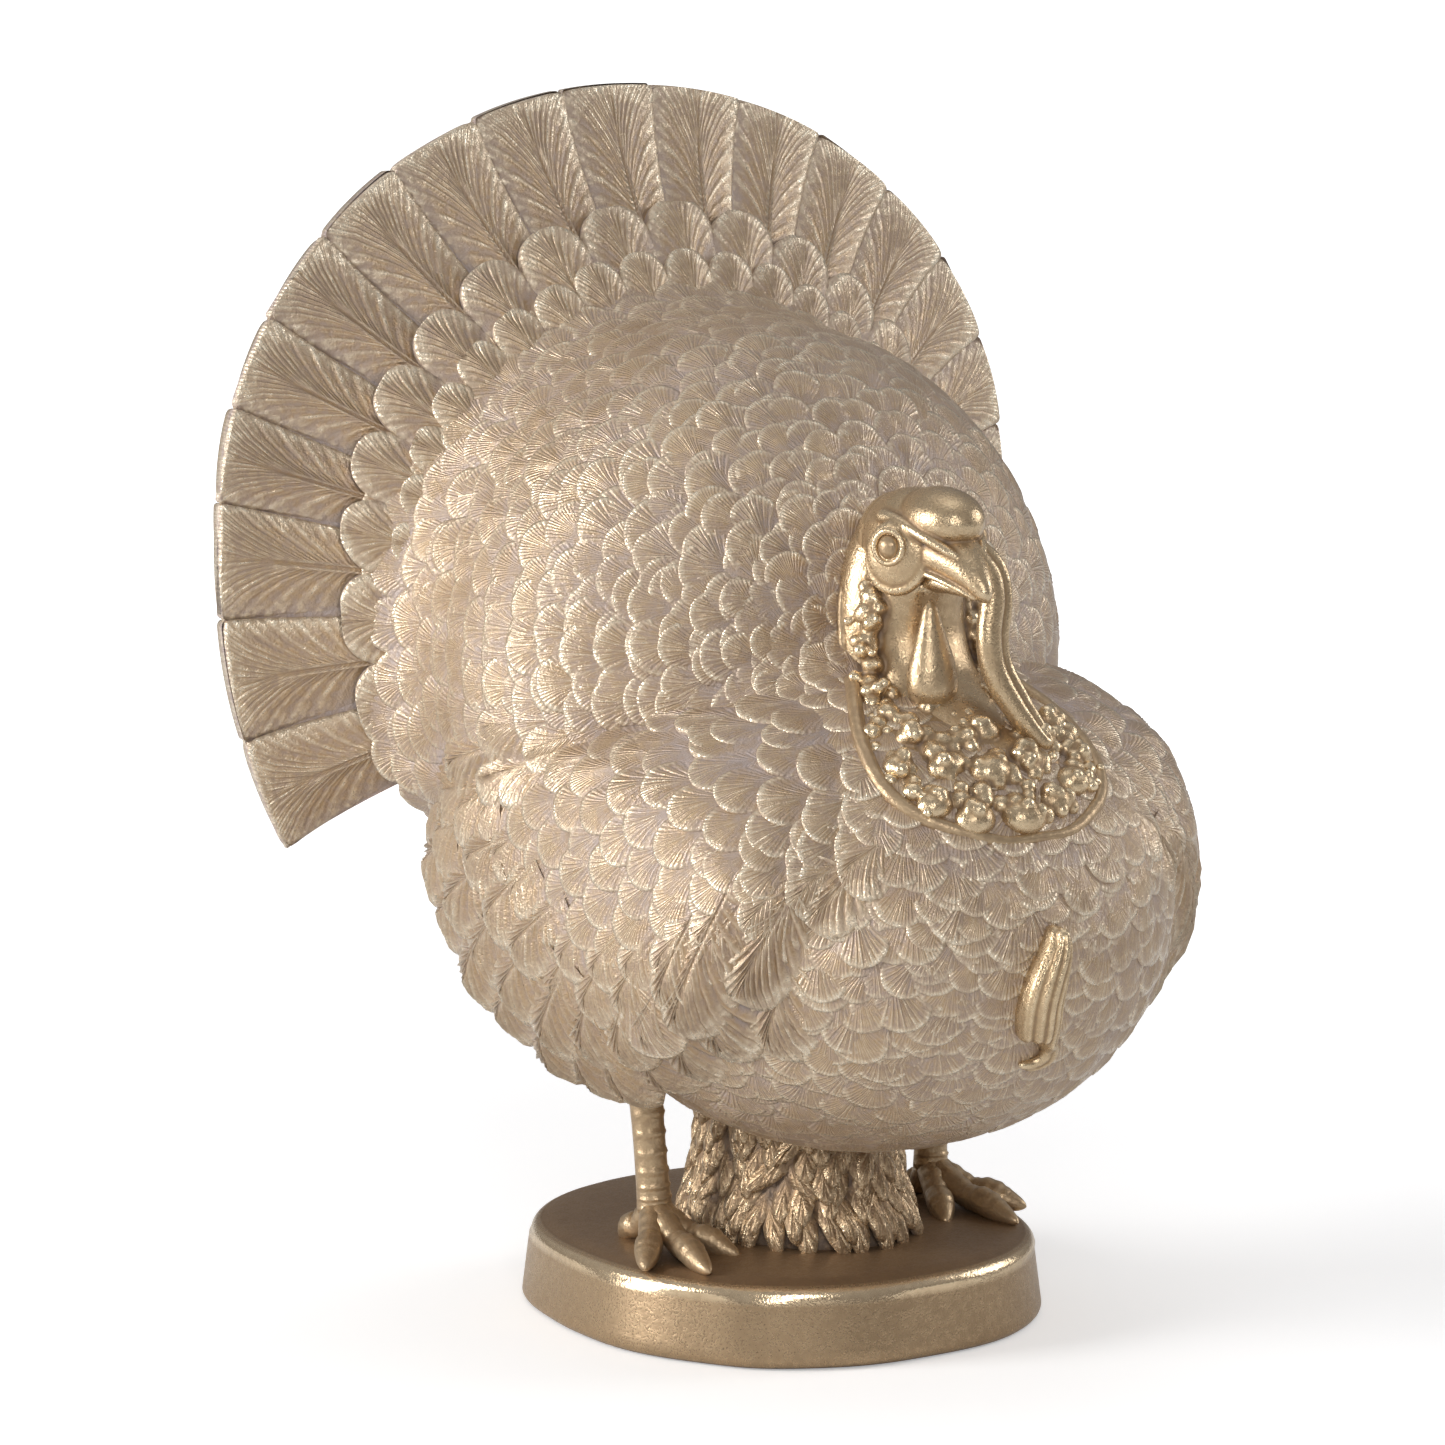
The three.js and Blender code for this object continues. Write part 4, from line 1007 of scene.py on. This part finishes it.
neck = Casting()
NECK_STATIONS = [
    (0, -88, 172, 24, 22), (0, -81, 182, 20, 17.5), (0, -72.5, 194, 16.5, 13.5), (0, -68, 207, 15, 11.5),
    (0, -68, 219, 14, 11), (0, -70, 230, 12.5, 12),
]
add_loft(neck, NECK_STATIONS, (0, -1, 0), rows=60, sides=56)
ball(neck, (0, -56, 203), (18.5, 16, 42), rows=24, sides=40)
STRIP = spline([
    (16.5, -68, 222), (17, -69, 214), (18.5, -73, 203), (23, -80, 192), (29.5, -93, 182.5), (30.5, -104, 176),
    (27, -114, 170.5),
], 60)
for side in (-1, 1):
    for place in STRIP[::2]:
        for low, high, spread in ((2.5, 3.6, 1.2), (1.8, 2.8, 2.2), (1.4, 2.2, 2.6)):
            size = dice.uniform(low, high)
            x, y, z = place + dice.normal(0, spread, 3) - vec(0.6, 0, 0.8)
            ball(neck, (side * x, y, z), (size, size, size * 0.9), rows=7, sides=10)
neck.fused("neck_skin", *SMOOTH, "neck", voxel=0.55, turns=4)


def torso_top(x, y):
    """Height of the breast's surface, 1 mm over the torso's form."""
    return 130 + 72 * cap(x / 84, (y + 38) / 98)


hood = Casting()
HOOD_FRONT = (
    (0, -127.5, 0.7), (11, -126.5, 0.75), (22, -121.5, 0.85), (31, -114, 0.95), (35.5, -104, 1),
    (34, -92, 1), (28.5, -80, 1), (22.5, -69.5, 1),
)
hood_line = []
for x, y, thick in HOOD_FRONT:
    hood_line.append((x, y, torso_top(x, y) + 1.2, 2.3 * thick, 2.3 * thick))
for x, z, thick in ((18.5, 196, 0.9), (17.5, 206, 0.85), (16.5, 216, 0.75), (14, 225, 0.5)):
    y = 20 - 79 * cap(x / 94, (z - 185) / 100) - 1.8
    hood_line.append((x, y, z, 2.4 * thick, 2.3 * thick))
add_loft(hood, on_side(hood_line[:0:-1], -1) + hood_line, (0, -1, 1), 200, 16, paint=(0.35, 0.3, 0.5, 0))
hood.piece("hood_line", *SMOOTH, "cape_rim")


def lump(casting, place, radius):
    ball(casting, place, (radius, radius, radius), rows=7, sides=10)


bib = Casting()
# The bib's ground: a low cushion inside the hood line
turns = circle(64)
shares = np.concatenate([np.linspace(0, 1, 14), np.linspace(1, 0, 14)])[:, None]
lift = np.where(np.arange(28)[:, None] < 14, 1.6 * (1 - shares ** 6), -4)
x, y = 33.5 * shares * np.cos(turns), -98.5 + 29 * shares * np.sin(turns)
z = torso_top(x, y) + lift
bib.grid(np.stack([x, y, z], -1), wrap=True)
LUMPS = (
    # x, y, radius
    (-16.5, -121, 6.2), (-2, -123.5, 7), (10.5, -120.5, 5.6), (-25.5, -114.5, 5.6), (-6, -112.5, 6.2),
    (7.5, -110.5, 5.6), (20, -115, 5.8), (-17, -108, 5), (27.5, -106, 5.4), (-29, -102, 4.8), (17.5, -103, 5),
    (-9, -102, 4.6), (27, -95, 4.6), (-21, -96, 4.4), (0, -101, 5),
)
for x, y, radius in LUMPS:
    z = torso_top(x, y) + 0.6
    ball(bib, (x, y, z), (radius, radius * 0.9, radius * 0.8), rows=12, sides=18)
    for _ in range(5):
        way = unit(dice.normal(0, 1, 3) + vec(0, -0.4, 0.8))
        small = dice.uniform(1.5, 2.8)
        lump(bib, vec(x, y, z) + way * radius * 0.74, small)
for _ in range(110):
    turn, spread = dice.uniform(0, 2 * math.pi), math.sqrt(dice.uniform(0, 1))
    x, y = 31 * spread * math.cos(turn), -98 + 27 * spread * math.sin(turn)
    small = dice.uniform(1.8, 3.9)
    lump(bib, (x, y, torso_top(x, y) + 1), small)
bib.fused("bib_lumps", *SMOOTH, "caruncle_collar", voxel=0.5, turns=6)

# Head, eyes, snood and wattle

head = Casting()
ball(head, (0, -67.5, 235.5), (14.3, 17, 14.8), rows=24, sides=36)
ball(head, (0, -58, 234), (12.5, 9, 14), rows=20, sides=28)
ball(head, (0.5, -79.5, 243.2), (10.8, 15, 8.9), rows=24, sides=36)
UPPER_BEAK = [
    (0, -80, 234, 10, 8.5), (0, -87, 233.3, 8.6, 7.2), (0, -93, 231, 6.6, 5.6), (0, -98, 228, 4.4, 4.2),
    (0, -101, 225, 2.6, 3), (0, -102.3, 222.4, 1, 1.3),
]
LOWER_BEAK = [
    (0, -78, 227, 8.2, 5), (0, -87, 226, 5.8, 3.2), (0, -93, 224.8, 3.6, 2), (0, -96.6, 223.6, 1.6, 1),
]
add_loft(head, UPPER_BEAK, (0, 0, 1), rows=40, sides=28)
add_loft(head, LOWER_BEAK, (0, 0, 1), rows=30, sides=24)
CHEEK_WAY = (-0.86, -0.5, 0.05)
CHEEK_PLACE = (-12.6, -76.2, 233.4)
EYE_PLACE = (-13.4, -75.5, 236)
BROW = (
    (-11.4, -66, 243.5, 2.4, 2.2), (-11.3, -73, 243, 2.3, 2), (-9.9, -80.5, 241, 2.1, 1.9),
    (-7.4, -88, 238, 1.8, 1.6), (-4, -95, 234.4, 1.3, 1.2),
)
LIP = (
    (-8.6, -82, 229.4, 1.2, 1.1), (-6.8, -89, 227.9, 1.1, 1), (-4.2, -95.5, 225.7, 1, 0.9),
    (-1.6, -100.4, 223.2, 0.8, 0.7),
)
for side in (1, -1):
    way, cheek, eye_place = on_side((CHEEK_WAY, CHEEK_PLACE, EYE_PLACE), side)
    disc(head, cheek, way, (9.2, 10.2, 3.2))
    start, stop = (175, 375) if side > 0 else (-175, 25)
    add_loft(head, arc(cheek, way, 8.6, 9.6, start, stop, 1.9), way, 60, 12)
    add_loft(head, arc(eye_place, way, 6.6, 6.2, 180, 360, 1.0), way, 60, 12)
    add_loft(head, on_side(BROW, side), (0, 0, 1), 50, 14)
    add_loft(head, on_side(LIP, side), (0, 0, 1), 40, 12)
head.fused("head_skin", *SMOOTH, "head", voxel=0.42, turns=4)

eye = Casting()
EYE_WAY = unit(vec(*CHEEK_WAY))
disc(eye, vec(*EYE_PLACE) + EYE_WAY * 2.1, EYE_WAY, (3.1, 3.5, 2.5))
lids = arc(vec(*EYE_PLACE) + EYE_WAY * 2.3, EYE_WAY, 4.4, 4.6, 0, 360, 0.95)
add_loft(eye, lids, EYE_WAY, rows=80, sides=12, paint=(0.6, 0.1, 0.5, 0), ends=(False, False))
eye.piece("eye_right_lids", *SMOOTH, "eye_right")
eye.mirrored().piece("eye_left_lids", *SMOOTH, "eye_left")

snood = Casting()
SNOOD_STATIONS = [
    (0.5, -81, 238.5, 4.5, 3), (1, -84.5, 239, 5, 3.4), (4.5, -91, 234.5, 5.6, 3.8),
    (7.5, -94.5, 229, 5.8, 4), (7.8, -96, 221.5, 6, 4.2), (6, -97, 211.5, 6, 4.2), (7, -98, 202.5, 5.9, 4.2),
    (11, -101, 193, 5.4, 4), (15.5, -105.5, 184.5, 3.9, 3.2), (18.4, -108.4, 180.8, 2, 1.8),
]


def snood_swell(u, a):
    furrow = np.exp(-((np.cos(a) + 0.12) / 0.3) ** 2) * (np.sin(a) > 0)
    return -2.1 * furrow * smooth(0.1, 0.3, u) * (1 - smooth(0.85, 1, u))


add_loft(snood, SNOOD_STATIONS, (0.5, -1, 0.35), 110, 44, swell=snood_swell)
snood.fused("snood_drape", *SMOOTH, "snood", voxel=0.35, turns=2)

wattle = Casting()
WATTLE_STATIONS = [
    (-7.6, -86 - 1.5 * down, 221.5 - 30 * down, 7.6 * wide, 6.2 * wide)
    for down, wide in ((0, 0.22), (0.15, 0.38), (0.35, 0.62), (0.6, 0.92), (0.8, 1), (0.93, 0.8), (1, 0.35))
]
add_loft(wattle, WATTLE_STATIONS, (0, -1, 0), rows=50, sides=32, paint=(0.42, 0.12, 0.5, 0))
wattle.piece("wattle_drop", *SMOOTH, "wattle")

# Beard: a bundle of hair strands

beard = Casting()
BEARD_LINE = (
    # x, z, the bundle's half width, the strand's thickness
    (-0.8, 138, 1.2, 1.3), (-1.9, 131, 2.8, 1.7), (-4.1, 124, 3.8, 1.9), (-5.4, 117, 4.2, 2),
    (-5, 111, 4.5, 1.9), (-3.5, 104.5, 4.4, 1.4),
)
BEARD_HOOK = ((1.8, 101.5, 0.9), (1.6, 98.3, 0.7), (-1.6, 96.6, 0.5), (-5.8, 96.6, 0.4))


def breast_y(x, z):
    return -38 - 97 * cap((z - 130) / 71, x / 83)


for strand in np.linspace(-1, 1, 5):
    line = []
    for x, z, half, thick in BEARD_LINE:
        x, z = x + strand * half, z - strand * 0.5
        line.append((x, breast_y(x, z) - 7 + 2.6 * strand ** 2, z, thick, 2.4 * thick))
    if strand > 0.2:
        for x, z, thick in BEARD_HOOK:
            x, z = x + (strand - 0.6) * 4, z + (0.6 - strand) * 2
            radius = 1.7 * thick + 0.6
            line.append((x, breast_y(x, z) - 4.6, z, radius, radius))
    add_loft(beard, line, (0, -1, 0), 60, 10)
beard.fused("beard_hair", *SMOOTH, "beard", voxel=0.35, turns=1)

# Legs

leg = Casting()
FOOT_X, FOOT_Y = -48, -6


def shank_swell(u, a):
    scutes = np.maximum(np.cos(2 * math.pi * 13 * u), -0.2) ** 2
    return 0.5 * scutes * smooth(-0.6, 0.6, np.sin(a)) * (1 - smooth(0.85, 1, u))


def knuckles(u, a):
    return 0.14 * np.cos(2 * math.pi * 9 * u) * smooth(0, 0.8, np.sin(a)) * (1 - smooth(0.7, 0.85, u))


LEG_PAINT = (0.35, 0.25, 0.5, 0)
SHANK = [
    (FOOT_X - 3 * up, FOOT_Y + 4 * up, 36.5 + 62 * up, 4.8 * thick, 4.8 * thick)
    for up, thick in ((-0.04, 1.1), (0.12, 1), (0.4, 0.98), (0.7, 1.15), (0.8, 1.3))
]
add_loft(leg, SHANK, (0, -1, 0), 90, 24, swell=shank_swell, paint=LEG_PAINT)
TOE = (
    # how far along the toe, how high, how thick
    (0, 0.9, 1.1), (0.2, 0.62, 1.05), (0.42, 0.26, 0.95), (0.62, 0.2, 1.05), (0.8, -0.02, 0.85),
    (1.0, -0.2, 0.3),
)
for degrees, length in ((-25, 28.9), (8, 38), (38, 29.6), (172, 15)):
    heading = (-math.sin(math.radians(degrees)), -math.cos(math.radians(degrees)))
    line = []
    for along, up, thick in TOE:
        x, y = FOOT_X + heading[0] * along * length, FOOT_Y + heading[1] * along * length
        line.append((x, y, PLINTH_TOP + up * 9, 3.9 * thick, 3.9 * thick))
    add_loft(leg, line, (0, 0, 1), 60, 20, swell=knuckles, paint=LEG_PAINT)
leg.piece("leg_right_skin", *SMOOTH, "leg_right")
leg.mirrored().piece("leg_left_skin", *SMOOTH, "leg_left")

# Tufts between the legs

tuft = Casting()
TUFT_WAIST = ((0, 1), (0.12, 0.98), (0.28, 0.86), (0.5, 0.8), (0.75, 0.84), (1, 0.92))


def tuft_field(p):
    up = (p[..., 2] - 23.5) / 62
    width = np.interp(up, *zip(*TUFT_WAIST))
    radius = np.sqrt((p[..., 0] / 30) ** 2 + ((p[..., 1] + 8) / 38) ** 2)
    return (radius - width) * 33


stations = [(0, -8, 22 + 62 * up, 30 * wide, 38 * wide) for up, wide in TUFT_WAIST]
add_loft(tuft, stations, (0, -1, 0), 40, 64, paint=UNDERCOAT)
for level in range(9):
    z = 74 - level * 5.2
    count = 26
    turns = (np.arange(count) + 0.5 * (level % 2) + dice.uniform(-0.2, 0.2, count)) / count * 2 * math.pi
    places = np.stack([26 * np.cos(turns), -8 + 33 * np.sin(turns), np.full(count, z)], -1)
    ways = np.tile(vec(0, 0, -1), (count, 1))
    lay(
        tuft, TUFT, tuft_field, places, ways, 8, 22,
        dict(rise=3.4, arch=1.7, groove=0.34, quill=0.2, rim=0.1, thick=1.8), turn=0.32,
    )
tuft.piece("tuft_column", tuft_shaded_gold, "feather_gold", "tuft_support")

# Plinth

plinth = Casting()


def plinth_ring(inset, z, sides=160):
    a = circle(sides)
    x = signed_power(np.cos(a), 2 / PLINTH_FULLNESS) * (PLINTH_HALF[0] - inset)
    y = signed_power(np.sin(a), 2 / PLINTH_FULLNESS) * (PLINTH_HALF[1] - inset)
    return np.stack([x, y, np.full(sides, float(z))], -1)


FOOT_ROUND = 2.5
UNDERSIDE = 0.4
WALL_TOP = 19.9
SHOULDER_ROUND = 4.1
quarter = np.linspace(0, math.pi / 2, 9)[1:]
rings = [plinth_ring(6.7, 1.8), plinth_ring(6.7, UNDERSIDE)]
for t in np.linspace(0, math.pi / 2, 7):
    rings.append(plinth_ring(FOOT_ROUND * (1 - math.sin(t)), UNDERSIDE + FOOT_ROUND * (1 - math.cos(t))))
rings += [plinth_ring(2 * u, 2.9 + 17 * u) for u in np.linspace(0.15, 1, 10)]
rings += [plinth_ring(2 + 4 * (1 - math.cos(t)), WALL_TOP + SHOULDER_ROUND * math.sin(t)) for t in quarter]
rings += [plinth_ring(71 * (1 - r), 24 + 3.5 * (1 - r * r)) for r in np.linspace(0.9, 0.002, 16)]
rings = np.stack(rings)
wave = 0.7 * np.sin(rings[..., 0] / 9 + np.cos(rings[..., 1] / 12)) * np.sin(rings[..., 1] / 11)
rings[2:19] += (unit(rings[2:19] * (1, 1, 0)) * wave[2:19, :, None])
shell_paint = np.zeros(rings.shape[:2] + (4,))
shell_paint[:] = (0.3, 0.15, 0.5, 0)
shell_paint[:5] = (0.1, 0.7, 0.5, 0)
# Gilt on the wall's top and rounded shoulder: rubbed gilt, and a painted highlight along the top edge.
shell_paint[18:23] = (0.85, 0, 0.6, 0)
# Painted reflection: the plinth's top is washed darker and toned deeper, standing for the dark belly mirrored
# in it.
shell_paint[25:] = (0.1, 0.45, 0.4, 0)
plinth.grid(facing_out(rings), shell_paint, wrap=True)
plinth.piece("plinth_shell", base_gold, "smooth_gold", "base_plinth")

# The pins and the felt keep their CAD shapes

for name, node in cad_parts.items():
    steel = node.type == "MESH" and any(word in name for word in ("dowel", "pin", "peg", "rod"))
    if steel or name == "felt_pad":
        node.data.materials.clear()
        node.data.materials.append(pin_steel if steel else base_felt)

# Floor, light and camera

bpy.ops.mesh.primitive_plane_add(size=12, location=(0, 0, 0))
floor = bpy.context.object
floor.name = "floor"
floor_material, tree, shader = new_material("floor white")
span_out = new_node(tree, "VectorMath")
span_out.operation = "LENGTH"
plug(tree, span_out, {0: new_node(tree, "TexCoord").outputs["Object"]})
far = span(tree, span_out.outputs["Value"], 0.22, 0.9)
glow = maths(tree, "MULTIPLY_ADD", far, 0.65, 0.35)
seen = new_node(tree, "LightPath").outputs["Is Camera Ray"]
plug(tree, shader, {
    "Base Color": (0.9, 0.9, 0.9, 1), "Roughness": 0.9, "Specular IOR Level": 0.1,
    "Emission Color": (1, 1, 1, 1), "Emission Strength": maths(tree, "MULTIPLY", glow, seen),
})
floor.data.materials.append(floor_material)
floor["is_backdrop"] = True

scene = bpy.context.scene
world = bpy.data.worlds.new("studio")
scene.world = world
world.use_nodes = True
tree = world.node_tree
split = new_node(tree, "SeparateXYZ")
plug(tree, split, {0: new_node(tree, "TexCoord").outputs["Generated"]})
height = span(tree, split.outputs["Z"], -0.2, 0.8)
room = mixed(tree, height, (0.14, 0.125, 0.115), (0.33, 0.33, 0.34))
seen = new_node(tree, "LightPath").outputs["Is Camera Ray"]
plug(tree, tree.nodes["Background"], {"Color": mixed(tree, seen, room, (1.0, 1.0, 1.0)), "Strength": 1})


LAMP_AIM = vec(0, 0, 0.16)


def softbox(name, place, size, power):
    lamp = bpy.data.lights.new(name, "AREA")
    lamp.shape = "SQUARE"
    lamp.size = size
    lamp.energy = power
    holder = bpy.data.objects.new(name, lamp)
    scene.collection.objects.link(holder)
    holder.location = place
    holder.rotation_euler = Vector(LAMP_AIM - vec(*place)).to_track_quat("-Z", "Y").to_euler()


softbox("key", (-2.15, 0.65, 0.75), 1.0, 43)
softbox("rim", (1.7, -0.5, 0.8), 0.8, 9)
softbox("top", (0.1, 0.2, 1.9), 1.2, 4)
softbox("fill", (-1.1, -1.9, 1.1), 0.8, 13)

camera_data = bpy.data.cameras.new("camera")
camera = bpy.data.objects.new("camera", camera_data)
scene.collection.objects.link(camera)
scene.camera = camera
azimuth, elevation, distance = math.radians(-33), math.radians(11), 2.6
target = vec(0, 0.032, 0.167)
offset = vec(
    math.sin(azimuth) * math.cos(elevation),
    -math.cos(azimuth) * math.cos(elevation),
    math.sin(elevation),
)
camera.location = target + offset * distance
camera.rotation_euler = Vector(-offset).to_track_quat("-Z", "Y").to_euler()
camera_data.lens = 222.6
camera_data.sensor_width = 36
camera_data.clip_end = 50
scene.view_settings.view_transform = "Standard"

boxes = {"cad": cad_box, "visual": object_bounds()}
{name: [list(map(float, corner)) for corner in box] for name, box in boxes.items()}
